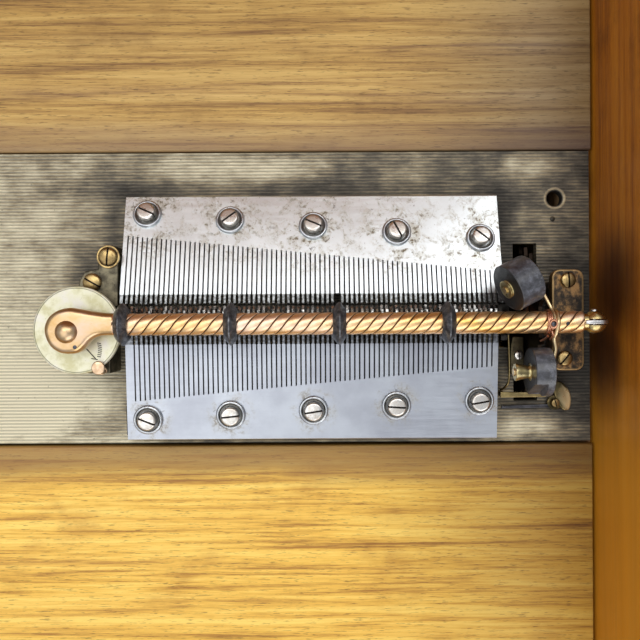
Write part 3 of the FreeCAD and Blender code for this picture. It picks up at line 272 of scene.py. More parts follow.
def heads(places, *size):
    """Many equal slotted heads at (point, direction, turn), and the layer that is 1 inside their slots, for painted
    shade.
    """
    points, blocks, inside = slotted(*size)
    return gather(*(stood((points, blocks), *place) for place in places)), np.tile(inside, len(places))


def blotches(x, y, size, seed):
    """Smooth patches from about -1 to 1: the mean of a dozen sine waves of that size, in seeded directions."""
    draw = np.random.default_rng(seed)
    angle, phase = draw.uniform(0, 2 * np.pi, (2, 12))
    rate = 2 * np.pi / (size * draw.uniform(0.7, 1.8, 12))
    waves = [np.sin(r * (x * math.cos(a) + y * math.sin(a)) + p) for r, a, p in zip(rate, angle, phase)]
    return np.sum(waves, 0) / 4.0


print("mesh tools ready")


# %% [markdown]
# ## Finishes
# Slotted brass heads of several sizes and their plain posts as one piece, with painted shade in their slots. Patterns
# read Object coordinates, here turned into millimetres, so they stay on the piece as it moves.

# %% A builder for finishes
def plain(colour):
    """A written colour with its alpha; an output stays as it is."""
    return (*colour, 1.0) if isinstance(colour, tuple) else colour


class Finish:
    """A procedural material being made. Numbers that are the same all over go straight on the shader's sockets."""

    def __init__(self, name, **sockets):
        self.material = bpy.data.materials.new(name)
        self.material.use_nodes = True
        self.tree = self.material.node_tree
        self.shader = self.tree.nodes["Principled BSDF"]
        self.place = self.add("ShaderNodeTexCoord").outputs["Object"]
        for socket, value in sockets.items():
            self.shader.inputs[socket.replace("_", " ")].default_value = value

    def add(self, kind, links=(), **settings):
        """One node, with its settings, and with values or outputs put into the sockets named or numbered in links."""
        node = self.tree.nodes.new(kind)
        for key, value in settings.items():
            setattr(node, key, value)
        for socket, value in dict(links).items():
            self.join(node.inputs[socket], value)
        return node

    def join(self, socket, value):
        """Link an output to a socket, or set a plain value on it."""
        if isinstance(value, bpy.types.NodeSocket):
            self.tree.links.new(value, socket)
        else:
            socket.default_value = value

    def space(self, stretch=(1, 1, 1), centre=(0, 0, 0), turn=0.0):
        """Object coordinates in millimetres about a centre, each axis divided by its stretch."""
        scale = tuple(1000.0 / s for s in stretch)
        shift = tuple(-c / s for c, s in zip(centre, stretch))
        links = {
            "Vector": self.place, "Scale": scale, "Location": shift,
            "Rotation": (0, 0, math.radians(turn)),
        }
        return self.add("ShaderNodeMapping", links).outputs[0]

    def noise(self, size, stretch=(1, 1, 1), detail=4.0, rough=0.55, bend=0.0, turn=0.0):
        """Cloudy noise whose patches are about `size` millimetres."""
        links = {
            "Vector": self.space(stretch, turn=turn), "Scale": 1.0 / size, "Detail": detail,
            "Roughness": rough, "Distortion": bend,
        }
        return self.add("ShaderNodeTexNoise", links).outputs[0]

    def layer(self, name):
        """A value painted on the mesh's points."""
        return self.add("ShaderNodeAttribute", attribute_name=name).outputs["Fac"]

    def axis(self, letter):
        """One Object coordinate in millimetres."""
        return self.add("ShaderNodeSeparateXYZ", {0: self.space()}).outputs["XYZ".index(letter)]

    def fit(self, value, low, high, to_low=0.0, to_high=1.0):
        """A value's range stretched onto another, and held at its ends."""
        links = {0: value, 1: low, 2: high, 3: to_low, 4: to_high}
        return self.add("ShaderNodeMapRange", links, interpolation_type="SMOOTHSTEP").outputs[0]

    def sum(self, kind, first, second):
        """One arithmetic step, such as SUBTRACT or MINIMUM."""
        return self.add("ShaderNodeMath", {0: first, 1: second}, operation=kind).outputs[0]

    def times(self, first, second):
        """The product of two values."""
        return self.sum("MULTIPLY", first, second)

    def plus(self, first, second):
        """Two values added."""
        return self.sum("ADD", first, second)

    def near(self, points, low, high):
        """1 beside any of the points in millimetres, falling to 0 from distance low to distance high."""
        place = self.space()
        least = 1e6
        for point in points:
            gap = self.add(
                "ShaderNodeVectorMath", {0: place, 1: tuple(point)}, operation="DISTANCE",
            ).outputs["Value"]
            least = self.sum("MINIMUM", gap, least)
        return self.fit(least, low, high, 1.0, 0.0)

    def ramp(self, value, *stops):
        """A colour for each value, from (position, colour) stops."""
        node = self.add("ShaderNodeValToRGB", {0: value})
        bar = node.color_ramp.elements
        while len(bar) < len(stops):
            bar.new(0.5)
        for mark, (position, colour) in zip(bar, stops):
            mark.position = position
            mark.color = (*colour, 1.0)
        return node.outputs[0]

    def over(self, amount, under, cover, kind="MIX"):
        """One colour laid over another by an amount from 0 to 1."""
        node = self.add("ShaderNodeMix", data_type="RGBA", blend_type=kind)
        for socket, value in ((0, amount), (6, under), (7, cover)):
            self.join(node.inputs[socket], plain(value))
        return node.outputs[2]

    def done(self, colour, rough, height, lift, strength):
        """Wire the results to the shader. Lift is the bump's depth in millimetres."""
        self.join(self.shader.inputs["Base Color"], plain(colour))
        self.join(self.shader.inputs["Roughness"], rough)
        links = {"Height": height, "Strength": strength, "Distance": lift * MM}
        self.join(self.shader.inputs["Normal"], self.add("ShaderNodeBump", links).outputs[0])
        return self.material


# %% [markdown]
# ## Wood
# The deck boards are golden oak with long grain, short dark pores, a darker margin beside the bed and painted shade
# towards the right wall. The case is a redder and smoother wood; its right wall's inside face has brighter tones as
# painted light. Both are stretched noise: broad bands for the year rings, fine streaks for the fibres, and a hard
# threshold for the pores.

# %% Wood finishes
def wood(
    name, along, dark, middle, light, pores=0.5, band=4.0, margin=None, rough=0.42, shade=None,
    inner=None,
):
    """Grain along an axis: colour = ramp(bands + fibres), darkened by pores, tinted towards a margin and darkened by
    painted shade near given points. Inner tones are painted light, a brighter copy of the tones for the right wall's
    face inside the case, where the margin and the painted shade are also kept."""
    long = tuple(34.0 if axis == along else 1.0 for axis in "XYZ")
    finish = Finish(name, Coat_Weight=0.06, Coat_Roughness=0.3, Specular_IOR_Level=0.35)
    bands = finish.noise(band, long, 3.0, 0.5, 0.6)
    fibres = finish.noise(0.5, long, 5.0, 0.7)
    grain = finish.plus(finish.times(bands, 0.6), finish.times(fibres, 0.4))
    colour = finish.ramp(grain, (0.36, dark), (0.48, middle), (0.60, light))
    face = 1.0
    # Painted light: inner tones are a lit copy of the same wood, on the right wall's face inside the case.
    if inner:
        face = finish.fit(finish.axis("X"), 244.0, 239.5)
        colour = finish.over(face, colour, finish.ramp(grain, *zip((0.36, 0.48, 0.60), inner)))
    shorter = tuple(v * 0.35 if v > 1 else v for v in long)
    pore = finish.fit(finish.noise(0.45, shorter, 2.0, 0.6), 0.58, 0.70, 0.0, pores)
    colour = finish.over(pore, colour, tuple(0.3 * v for v in dark))
    soil = finish.fit(finish.noise(30.0, (1.6, 1, 1), 5.0, 0.65), 0.50, 0.78, 0.0, 0.45)
    colour = finish.over(soil, colour, tuple(0.9 * v for v in dark), "MULTIPLY")
    # A tint towards a margin: darker beside the bed on the decks; on the right wall it is painted light, brighter
    # towards the front.
    if margin:
        letter, start, end, tint = margin
        edge = finish.plus(finish.axis(letter), finish.times(finish.noise(22.0, (3, 1, 1)), 14.0))
        colour = finish.over(finish.times(finish.fit(edge, start, end, 0.0, 0.75), face), colour, tint)
    if shade:
        points, near, far, tint = shade
        colour = finish.over(finish.times(finish.near(points, near, far), face), colour, tint, "MULTIPLY")
    shine = finish.fit(finish.noise(9.0, long), 0.3, 0.7, rough - 0.08, rough + 0.12)
    return finish.done(colour, shine, finish.sum("SUBTRACT", fibres, pore), 0.12, 0.35)


# Each deck is darker in a margin beside the bed, and painted shade darkens it towards the right wall.
oak_rear = wood("rear_deck_oak", "X", (0.25, 0.125, 0.038), (0.52, 0.31, 0.082), (0.68, 0.45, 0.14), 0.6, 3.4,
                ("Y", 112.0, 86.0, (0.21, 0.13, 0.085)), 0.42, ([(250, 110, 141)], 20, 130, (0.40, 0.42, 0.60)))
oak_front = wood("front_deck_oak", "X", (0.38, 0.17, 0.026), (0.82, 0.48, 0.072), (0.96, 0.66, 0.145), 0.6, 3.4,
                 ("Y", -70.0, -55.0, (0.22, 0.11, 0.04)), 0.42, ([(250, -75, 141)], 20, 150, (0.40, 0.37, 0.34)))
CASE_TONES = ((0.13, 0.034, 0.006), (0.28, 0.088, 0.012), (0.39, 0.142, 0.022))
case_wood_x = wood(
    "case_wood_long", "X", (0.13, 0.034, 0.006), (0.27, 0.085, 0.012), (0.38, 0.14, 0.022), 0.15, 8.0,
)
case_wood_y = wood("case_wood_cross", "Y", *CASE_TONES, 0.15, 8.0)
# Painted light on the right wall's inside face: brighter tones, brighter still towards the front, and painted shade
# near two points by the bracket.
wall_wood = wood("right_wall_wood", "Y", *CASE_TONES, 0.15, 8.0,
                 ("Y", 10.0, -60.0, (0.62, 0.27, 0.016)), 0.42, (
                     [(240, 18, 165), (240, -12, 150)], 8, 38, (0.20, 0.18, 0.30),
                 ),
                 ((0.20, 0.055, 0.005), (0.40, 0.130, 0.008), (0.54, 0.205, 0.014)))
plain_wood = wood(
    "inside_board_wood", "X", (0.16, 0.075, 0.03), (0.34, 0.19, 0.085), (0.48, 0.30, 0.15), 0.3, 8.0,
    None, 0.6,
)
black_wood = wood(
    "black_grip_wood", "X", (0.010, 0.007, 0.005), (0.022, 0.013, 0.008), (0.05, 0.028, 0.016), 0.3, 5.0,
    None, 0.3,
)


# %% [markdown]
# ## Metals
# Old metal is never one colour. Each metal here has a base tone that wanders, small specks, and a place where the
# wear or the stain is stronger: brown spots round the comb screws, gold on top of the bed's ribs. The bar is darker
# in its grooves.

# %% Metal finishes
def metal(
    name, base, cast, stain=(0.10, 0.07, 0.04), amount=0.3, rough=0.34, patch=9.0, speck=1.1, lift=0.05,
    shade_and_dirt=None, tint=None,
):
    """A worn metal: base and cast tones mixed by cloudy noise, then stained where specks meet larger patches. A
    painted layer can darken its hollows: painted shade, with some dirt."""
    finish = Finish(name, Metallic=1.0)
    cloud = finish.noise(patch, detail=5.0, rough=0.6)
    colour = finish.over(finish.fit(cloud, 0.35, 0.65), base, cast)
    specks = finish.fit(finish.noise(speck, detail=6.0, rough=0.7), 0.54, 0.66)
    stains = finish.times(specks, finish.fit(finish.noise(patch * 1.4, detail=3.0), 0.42, 0.62, 0.0, amount))
    colour = finish.over(stains, colour, stain)
    shine = finish.plus(finish.fit(cloud, 0.3, 0.7, rough - 0.06, rough + 0.08), finish.times(stains, 0.35))
    # Painted shade with some dirt in the hollows, from a painted layer.
    if shade_and_dirt:
        colour = finish.over(finish.layer(shade_and_dirt), colour, tint or (0.02, 0.015, 0.012))
    return finish.done(colour, shine, finish.noise(0.35, detail=4.0, rough=0.7), lift, 0.35)


steel = metal("machined_steel", (0.62, 0.62, 0.60), (0.50, 0.50, 0.50), (0.20, 0.10, 0.05), 0.35, 0.30, 4.0)
washer_steel = metal(
    "washer_steel", (0.60, 0.63, 0.65), (0.42, 0.44, 0.47), (0.14, 0.11, 0.07), 0.5, 0.30, 3.0, 0.8, 0.05,
    "shade_and_dirt", (0.10, 0.095, 0.08),
)
screw_steel = metal(
    "screw_steel", (0.80, 0.78, 0.74), (0.62, 0.58, 0.52), (0.30, 0.11, 0.05), 0.7, 0.30, 2.5, 0.9, 0.05,
    "shade_and_dirt",
)
dark_steel = metal(
    "blackened_steel", (0.050, 0.050, 0.055), (0.10, 0.10, 0.11), (0.03, 0.02, 0.02), 0.4, 0.38, 3.0,
)
star_steel = metal(
    "star_steel", (0.62, 0.61, 0.58), (0.05, 0.048, 0.045), (0.02, 0.016, 0.014), 0.8, 0.24, 1.6, 0.6,
)
iron = metal(
    "dark_cast_iron", (0.050, 0.046, 0.038), (0.13, 0.11, 0.075), (0.03, 0.02, 0.015), 0.5, 0.50, 6.0,
    1.0, 0.25,
)
hub_brass = metal("hub_brass", (0.62, 0.52, 0.28), (0.44, 0.36, 0.17), (0.16, 0.11, 0.05), 0.35, 0.32, 4.0)
wire_brass = metal("wire_brass", (0.74, 0.58, 0.33), (0.58, 0.42, 0.23), (0.20, 0.12, 0.06), 0.3, 0.34, 3.0)
copper = metal("wire_copper", (0.74, 0.38, 0.24), (0.50, 0.24, 0.14), (0.18, 0.09, 0.05), 0.4, 0.30, 2.0)
motor_brass = metal("motor_brass", (0.52, 0.37, 0.15), (0.36, 0.25, 0.10), (0.12, 0.07, 0.03), 0.3, 0.38, 14.0)
motor_steel = metal("motor_steel", (0.40, 0.40, 0.40), (0.28, 0.28, 0.29), (0.12, 0.08, 0.05), 0.3, 0.38, 8.0)
oiled_steel = metal(
    "oiled_dark_steel", (0.045, 0.042, 0.038), (0.09, 0.085, 0.075), (0.02, 0.015, 0.01), 0.5, 0.36, 3.0,
)
centre_bronze = metal(
    "centre_bronze", (0.20, 0.175, 0.115), (0.075, 0.066, 0.048), (0.025, 0.02, 0.015), 0.6, 0.46, 5.0,
    1.0, 0.2,
)
grimy_steel = metal(
    "grimy_steel", (0.020, 0.014, 0.010), (0.035, 0.025, 0.018), (0.01, 0.008, 0.006), 0.5, 0.50, 3.0,
)
crank_steel = metal("crank_steel", (0.60, 0.60, 0.60), (0.44, 0.44, 0.45), (0.16, 0.10, 0.06), 0.3, 0.28, 9.0)
print("wood and metal finishes ready")

# %% [markdown]
# ## Deck boards
# Two oak boards close the case in front of the bed and behind it. Each has a rounded edge beside the bed. The board
# is a strip profile in Y and Z, drawn on a grid so that the rounded edge is real.


# %% The two deck boards
DECK_TOP, DECK_LOW, DECK_BACK = 141.5, 135.0, 219.7


def deck_board(name, near, far, sign, finish, node):
    """A board from near to far: height falls by round(1 - sqrt(1 - u^2)) over the last stretch to its near edge."""
    easing = 1.0
    u = np.sin(np.linspace(0, np.pi / 2, 7))
    run = np.concatenate([near + easing * (1 - u[::-1]), np.linspace(near + easing, far, 22)[1:]])
    drop = np.concatenate([easing * (1 - np.sqrt(np.maximum(1 - u[::-1] ** 2, 0))), np.zeros(21)])
    x = np.concatenate([[-235.2, -234.8], np.linspace(-230, 230, 9), [234.8, 235.2]])[:, None]
    ends = 0.35 * (np.abs(x) > 235)
    y = sign * run[None]
    top = DECK_TOP - drop[None] - ends
    shape = plate(x + 0 * y, y + 0 * x, top, DECK_LOW + 0 * top, np.ones((len(x) - 1, len(run) - 1), bool))
    piece(name, shape[:2], finish, "case", [node])


deck_board("deck_board_rear", 84.0, DECK_BACK, 1, oak_rear, "deck_rear")
deck_board("deck_board_front", 55.1, DECK_BACK, -1, oak_front, "deck_front")

# %% [markdown]
# ## The bed
# The bed is a casting with fine ribs along its whole length, bronze coloured, with gold showing where hands and
# cloths have rubbed the tops. Each rib is five grid lines across Y. Two painted layers go with the mesh: how high a
# point is on its rib, and how worn the place is, lowered by grime and by painted shadow beside the combs.

# %% Bed's grid and ribs
BED_TOP, BED_LOW = 140.0, 135.0
RIB, RIB_DEEP = 1.55, 0.22
bed_y = (-54.0, 83.3)
window_x, window_y = (198.3, 209.6), (-34.9, 39.7)
slot_x, slot_y = (191.5, 198.3), (-9.6, 14.4)
hole = np.array([218.4, 61.0])
HALF, HOLE_RADIUS, HOLE_SIDES = 6.2, 3.65, 96


def rib_height(y):
    """How high a point is on its rib, from 0 in the groove to 1 on top: a rounded wave of the rib's pitch."""
    share = ((y - bed_y[0]) / RIB) % 1.0
    return np.interp(share, [0, 0.16, 0.34, 0.66, 0.84, 1.0], [0, 0.25, 1.0, 1.0, 0.25, 0])


def ruled(lines, edges, clear):
    """Grid lines in order, with a line exactly on every edge and none too close beside one."""
    lines, edges = np.asarray(lines, float), np.asarray(edges, float)
    far = np.min(np.abs(lines[:, None] - edges[None]), axis=1) > clear
    return np.sort(np.concatenate([lines[far], edges]))


rib_lines = (np.arange(
    bed_y[0], bed_y[1], RIB,
)[:, None] + RIB * np.array([0.0, 0.16, 0.34, 0.66, 0.84])).ravel()
rows = ruled(rib_lines, [*bed_y, *window_y, *slot_y, hole[1] - HALF, hole[1] + HALF], 0.1)
rows = rows[(rows >= bed_y[0]) & (rows <= bed_y[1])]
columns = ruled(
    np.linspace(-234.6, 234.6, 76)[1:-1],
    [-234.6, 234.6, *window_x, slot_x[0], hole[0] - HALF, hole[0] + HALF], 0.8,
)
X, Y = np.meshgrid(columns, rows, indexing="ij")
mid_x = (columns[:-1, None] + columns[1:, None]) / 2
mid_y = (rows[None, :-1] + rows[None, 1:]) / 2


def inside(x_range, y_range):
    """Which cells have their middle inside a rectangle."""
    return (mid_x > x_range[0]) & (mid_x < x_range[1]) & (mid_y > y_range[0]) & (mid_y < y_range[1])


holes = inside(window_x, window_y) | inside(slot_x, slot_y) | inside(
    hole[0] + np.array([-HALF, HALF]), hole[1] + np.array([-HALF, HALF]),
)

# %% Where the bed is worn, grimy and shaded
GOLD_SPOTS = [
    (-18, 55, 60, 60, 0.05), (
        -25, -36, 60, 40, 0.50,
    ), (68, 76, 46, 8, 0.40), (173, 71, 30, 12, 0.05), (100, 75, 60, 10, 0.16),
    (206, 76, 20, 7, 0.55), (207, 47, 22, 16, 0.25), (-120, 20, 80, 80, 0.35), (206, -48, 24, 6, 0.55),
]
# Grime and painted shadow: the long thin band behind the rear comb's back and the spots by the combs' left ends are
# painted shadow.
GRIME_AND_SHADOW_SPOTS = [
    (
        118, 72, 26, 12, 0.22,
    ), (38, 66, 70, 6, 0.30), (0, -46, 18, 10, 0.30), (228, -4, 20, 52, 0.45), (193, 40, 8, 40, 0.35),
    (12, 42, 8, 24, 0.35), (4, 26, 14, 10, 0.30), (226, 80, 14, 10, 0.2), (14, -26, 6, 18, 0.45), (
        218, -45, 30, 10, 0.1,
    ),
]


def wear_and_shade_at(x, y):
    """How worn a place on the bed is: more to the left, in patches, more in gold spots, and less in grimy spots and
    in painted shadow.
    """
    wear_and_shade = 0.50 - 0.0011 * (x - 60) + 0.10 * blotches(x, y, 55.0, 3) + 0.09 * blotches(x, y, 13.0, 5)
    for sign, spots in ((1, GOLD_SPOTS), (-1, GRIME_AND_SHADOW_SPOTS)):
        for cx, cy, rx, ry, amount in spots:
            wear_and_shade = wear_and_shade + sign * amount * np.exp(-(((x - cx) / rx) ** 2) - ((y - cy) / ry) ** 2)
    return np.clip(wear_and_shade, 0.0, 1.2)


high = rib_height(Y)
bed_points, bed_blocks, used = plate(X, Y, BED_TOP - RIB_DEEP * (1 - high), BED_LOW + 0 * X, ~holes)
bed_layers = [high.ravel()[used % X.size], wear_and_shade_at(X, Y).ravel()[used % X.size]]

# %% Bed finish
bed_finish = Finish("bed_bronze", Metallic=0.35, Specular_IOR_Level=0.4)
fleck = bed_finish.times(bed_finish.sum("SUBTRACT", bed_finish.noise(1.3, (6, 1, 1), 6.0, 0.7), 0.5), 0.9)
cloud = bed_finish.times(bed_finish.sum("SUBTRACT", bed_finish.noise(7.0, (1.5, 1, 1), 5.0, 0.65), 0.5), 0.7)
wear_and_shade = bed_finish.plus(bed_finish.layer("wear_and_shade"), bed_finish.plus(fleck, cloud))
groove = bed_finish.ramp(
    wear_and_shade, (0.05, (0.026, 0.024, 0.020)), (0.45, (0.105, 0.096, 0.076)), (0.95, (0.40, 0.37, 0.27)),
)
crest = bed_finish.ramp(
    wear_and_shade, (0.05, (0.052, 0.047, 0.038)), (0.30, (0.130, 0.114, 0.084)), (0.60, (0.33, 0.27, 0.165)),
    (1.0, (0.70, 0.63, 0.44)),
)
tone = bed_finish.over(bed_finish.layer("rib"), groove, crest)
spot = bed_finish.fit(bed_finish.noise(2.4, detail=5.0, rough=0.7), 0.64, 0.72, 0.0, 0.6)
tone = bed_finish.over(spot, tone, (0.045, 0.042, 0.036))
bed_bronze = bed_finish.done(
    tone, bed_finish.fit(wear_and_shade, 0.1, 0.9, 0.60, 0.42), bed_finish.noise(0.8, detail=5.0), 0.12, 0.4,
)

# %% Bed with its locating hole
t = 2 * np.pi * np.arange(HOLE_SIDES) / HOLE_SIDES
ray = np.stack([np.cos(t), np.sin(t)], 1)
border = HALF / np.maximum(np.abs(ray[:, :1]), np.abs(ray[:, 1:]))
share = np.linspace(1, 0, 9)[:, None, None]
fan = hole + ray[None] * (share * border[None] + (1 - share) * 4.3)
flat = np.clip((5.6 - np.linalg.norm(fan - hole, axis=-1)) / 0.5, 0, 1)
fan_rib = np.maximum(rib_height(fan[..., 1]), flat)
fan_top = np.concatenate([fan, (BED_TOP - RIB_DEEP * (1 - fan_rib))[..., None]], -1)
inner = [np.concatenate(
    [hole + ray * r, np.full((HOLE_SIDES, 1), z)], 1,
)[None] for r, z in ((HOLE_RADIUS, BED_TOP - 0.45), (HOLE_RADIUS, BED_LOW))]
outer = np.concatenate([hole + ray * border, np.full((HOLE_SIDES, 1), BED_LOW)], 1)[None]
collar = skin(np.concatenate([outer, fan_top, *inner]), closed=True)
collar_rib = np.concatenate([np.zeros(HOLE_SIDES), fan_rib.ravel(), np.zeros(2 * HOLE_SIDES)])
collar_worn = np.concatenate([
    np.zeros(HOLE_SIDES), np.maximum(
        wear_and_shade_at(fan[..., 0], fan[..., 1]), 0.62 * flat,
    ).ravel(), np.zeros(2 * HOLE_SIDES),
])
layers = {
    "rib": np.concatenate([bed_layers[0], collar_rib]),
    "wear_and_shade": np.concatenate([bed_layers[1], collar_worn]),
}
piece(
    "ribbed_bed", gather((bed_points, bed_blocks), collar), bed_bronze, "case",
    ["bedplate"], layers=layers,
)
bed_plug = stood(
    turned([(0.01, 0.25), (0.9, 0.2), (1.25, 0.0), (1.25, -0.6), (0.01, -0.6)], 20), (217.3, 51.2, 140.0),
)
piece("plugged_hole", bed_plug, iron, "case")

# %% [markdown]
# ## Combs
# Each comb is one steel plate, the rear one with 78 teeth and the front one with 75. On the grid, two columns share
# each tooth, and the cells of the slots are simply not kept. The rows follow the slots' ends, so the teeth shorten
# from the deep notes to the high ones. The tips are cut narrower, and one tooth in the middle is short, where an
# upright of the gantry stands.

# %% Comb shape
TEETH, PITCH, SLOT, COMB_X = 78, 2.19, 0.66, 17.1
STAR_Y, STAR_Z, THICK = 4.55, 159.5, 2.6
MIDDLE, SHORT_ROOT = 44, 14.6
COMBS = {
    "rear": {
        "sign": 1, "tip": 11.45, "lean": math.radians(15), "deep": 51.9, "root": 32.8, "teeth": (0, 78),
        "ends": (17.1, 189.0),
    },
    "front": {
        "sign": -1, "tip": -2.35, "lean": math.radians(5), "deep": 47.7, "root": 30.6, "teeth": (2, 77),
        "ends": (19.7, 186.3),
    },
}


def on_comb(which, x, back, height):
    """A point on a comb from x, the distance back from the tips and the height above the plate, as (x, y, z)."""
    c = COMBS[which]
    y = c["tip"] + c["sign"] * (back * math.cos(c["lean"]) + height * math.sin(c["lean"]))
    z = STAR_Z + THICK / 2 - back * math.sin(c["lean"]) + height * math.cos(c["lean"])
    return x, y, z


def comb_shape(which):
    """The plate on its grid: column x = start + k pitch +- half a slot, row = share of the way from tip to back."""
    c = COMBS[which]
    k = np.arange(*c["teeth"])
    x = (COMB_X + (k[:, None] + [0, 1]) * PITCH + [SLOT / 2, -SLOT / 2]).ravel()
    x[0], x[-1] = c["ends"]
    root = c["root"] + (SHORT_ROOT - c["root"]) * (x - COMB_X) / (TEETH * PITCH)
    ahead = np.broadcast_to([0.0, 0.3, 4.2, 4.5], (len(x), 4))
    run = 4.5 + (root[:, None] - 4.5) * np.array([0.33, 0.66, 1.0])
    body = root[:, None] + (c["deep"] - root[:, None]) * np.array([0.25, 0.5, 0.75, 0.985, 1.0])
    back = np.concatenate([ahead, run, body], 1)
    short = np.flatnonzero(np.repeat(k, 2) == MIDDLE)
    back[short] = np.maximum(back[short], 4.6)
    narrow = np.zeros(back.shape)
    narrow[:, :3] = 0.28
    x = x[:, None] + np.tile([1.0, -1.0], len(k))[:, None] * narrow
    kept = np.ones((2 * len(k) - 1, back.shape[1] - 1), bool)
    kept[1::2, :6] = False
    top = np.zeros(back.shape)
    top[:, 0] = -0.25
    top[:, -1] = -0.3
    low = np.full(back.shape, -THICK)
    low[:, :4] += 0.5
    points, blocks, used = plate(x, back, top, low, kept)
    tip = np.broadcast_to(np.clip((4.6 - back) / 0.5, 0, 1), back.shape).ravel()[used % back.size]
    return (np.stack(on_comb(which, points[:, 0], points[:, 1], points[:, 2]), 1), blocks), {"tip": tip}


# %% Comb screws' places
SLOT_TURNS = {"rear": (-25, 38, -24, -64, -40), "front": (-22, 6, 9, -4, 10)}
SCREW_BACK = {"rear": (43.0, 30.5), "front": (38.3, 30.5)}
SCREW_X = {"rear": (27.5, 152.7), "front": (29.2, 148.8)}
screw_places = {}
for which, (deep_first, deep_last) in SCREW_BACK.items():
    backs = deep_first + (deep_last - deep_first) * np.arange(5) / 4
    across = SCREW_X[which][0] + SCREW_X[which][1] * np.arange(5) / 4
    screw_places[which] = [on_comb(which, x, b, 0.0) for x, b in zip(across, backs)]


# %% [markdown]
# The rear comb is given bright, lit tones, a little warm, with brown spots that gather round its screws. The
# front comb leans the other way, and the same steel is given darker, bluish grey tones as painted shade. The spots
# are noise that only shows near the screws.

# %% Comb finishes and pieces
def comb_metal(name, base, cast, screws, reach, spots, rough):
    """Ground steel: faint streaks along X, scattered pits, brown spots that thin out away from the screws, and
    painted shade on the narrow tips.
    """
    finish = Finish(name, Metallic=1.0)
    cloud = finish.noise(26.0, detail=6.0, rough=0.6)
    colour = finish.over(finish.fit(cloud, 0.35, 0.68), base, cast)
    halo = finish.near(screws, 6.0, reach)
    cloudy = finish.fit(finish.noise(6.0, detail=6.0, rough=0.7, bend=0.5), 0.44, 0.62)
    crust = finish.fit(finish.noise(1.5, detail=7.0, rough=0.75), 0.48, 0.58)
    haze = finish.times(finish.times(cloudy, halo), spots)
    colour = finish.over(finish.times(haze, 0.55), colour, (0.44, 0.40, 0.29))
    brown = finish.times(crust, haze)
    colour = finish.over(brown, colour, (0.20, 0.15, 0.085))
    blot = finish.times(
        finish.fit(finish.noise(3.2, detail=5.0, rough=0.7, bend=0.6), 0.62, 0.68),
        finish.times(halo, spots),
    )
    colour = finish.over(finish.times(blot, 0.85), colour, (0.07, 0.055, 0.04))
    pits = finish.fit(finish.noise(0.8, detail=4.0, rough=0.7), 0.69, 0.75, 0.0, 0.7)
    colour = finish.over(pits, colour, (0.14, 0.12, 0.09))
    # Painted shade: the narrow tips are darkened, unevenly.
    tip_shade = finish.times(
        finish.layer("tip"), finish.fit(finish.noise(1.2, detail=3.0), 0.40, 0.66, 0.95, 0.55),
    )
    colour = finish.over(tip_shade, colour, (0.045, 0.043, 0.04))
    streaks = finish.noise(0.5, (40, 1, 1), 4.0, 0.7)
    shine = finish.plus(finish.fit(streaks, 0.3, 0.7, rough - 0.05, rough + 0.07), finish.times(brown, 0.4))
    return finish.done(colour, shine, streaks, 0.03, 0.3)


# Lit and shaded copies of one steel: the rear comb's bright tones are painted light, the front comb's grey tones
# painted shade.
comb_bright = comb_metal(
    "lit_comb_steel", (0.89, 0.95, 0.97), (0.78, 0.82, 0.83), screw_places["rear"], 30.0, 1.0, 0.34,
)
comb_grey = comb_metal(
    "shaded_comb_steel", (0.50, 0.53, 0.58), (0.40, 0.42, 0.47), screw_places["front"], 13.0, 0.6, 0.36,
)
for which, finish, slot in (("rear", comb_bright, "comb_bright"), ("front", comb_grey, "comb_grey")):
    shape, tip_layer = comb_shape(which)
    piece(f"comb_plate_{which}", shape, finish, "case", [f"comb_{which}"], crease=20, layers=tip_layer)

# %% [markdown]
# ## Comb screws and washers
# Each comb is held by five slotted screws on domed washers. The washer is turned, with a raised rim and a step down
# to the screw. The screw head is cut by its slot, and no two slots point the same way.

# %% Washers and screws
washer_profile = softened(
    [(4.3, 0.1), (4.2, 0.8), (5.0, 0.75), (5.5, 1.6), (6.2, 1.55), (6.7, 0.8), (6.6, 0.0)], 0.3,
)
# Painted shade with some dirt: the washer's dish inside its raised rim is darkened.
hollow = np.clip((5.45 - washer_profile[:, 0]) / 0.6, 0, 0.85)
washer_parts, comb_heads = [], []
for which, places in screw_places.items():
    lean = COMBS[which]["sign"] * math.sin(COMBS[which]["lean"])
    normal = (0.0, lean, math.cos(COMBS[which]["lean"]))
    for spot, turn in zip(places, SLOT_TURNS[which]):
        washer_parts.append(stood(turned(washer_profile, 40, ring=True), spot, normal))
        comb_heads.append((np.asarray(spot) + np.asarray(normal) * 0.8, normal, turn - 90))
washer_shade_and_dirt = np.tile(np.repeat(hollow, 40), len(washer_parts))
piece(
    "domed_washers", gather(*washer_parts), washer_steel, "case", ["comb_washers"],
    layers={"shade_and_dirt": washer_shade_and_dirt},
)
# Painted shade in the screw slots.
head_shape, head_slots = heads(comb_heads, 4.0, 4.0, 0.85, 1.2, 0.15)
piece(
    "slotted_screws", head_shape, screw_steel, "case", ["comb_screws"], crease=30,
    layers={"shade_and_dirt": head_slots},
)

# %% [markdown]
# ## Star wheels
# Between the combs runs a rod with one small pointed wheel for each pair of teeth. A disc's projection turns a
# wheel, and the wheel's point plucks the two teeth. Each wheel is a zigzag outline with eight points and two flat
# sides, all made at once. The CAD model's wheels have six points.


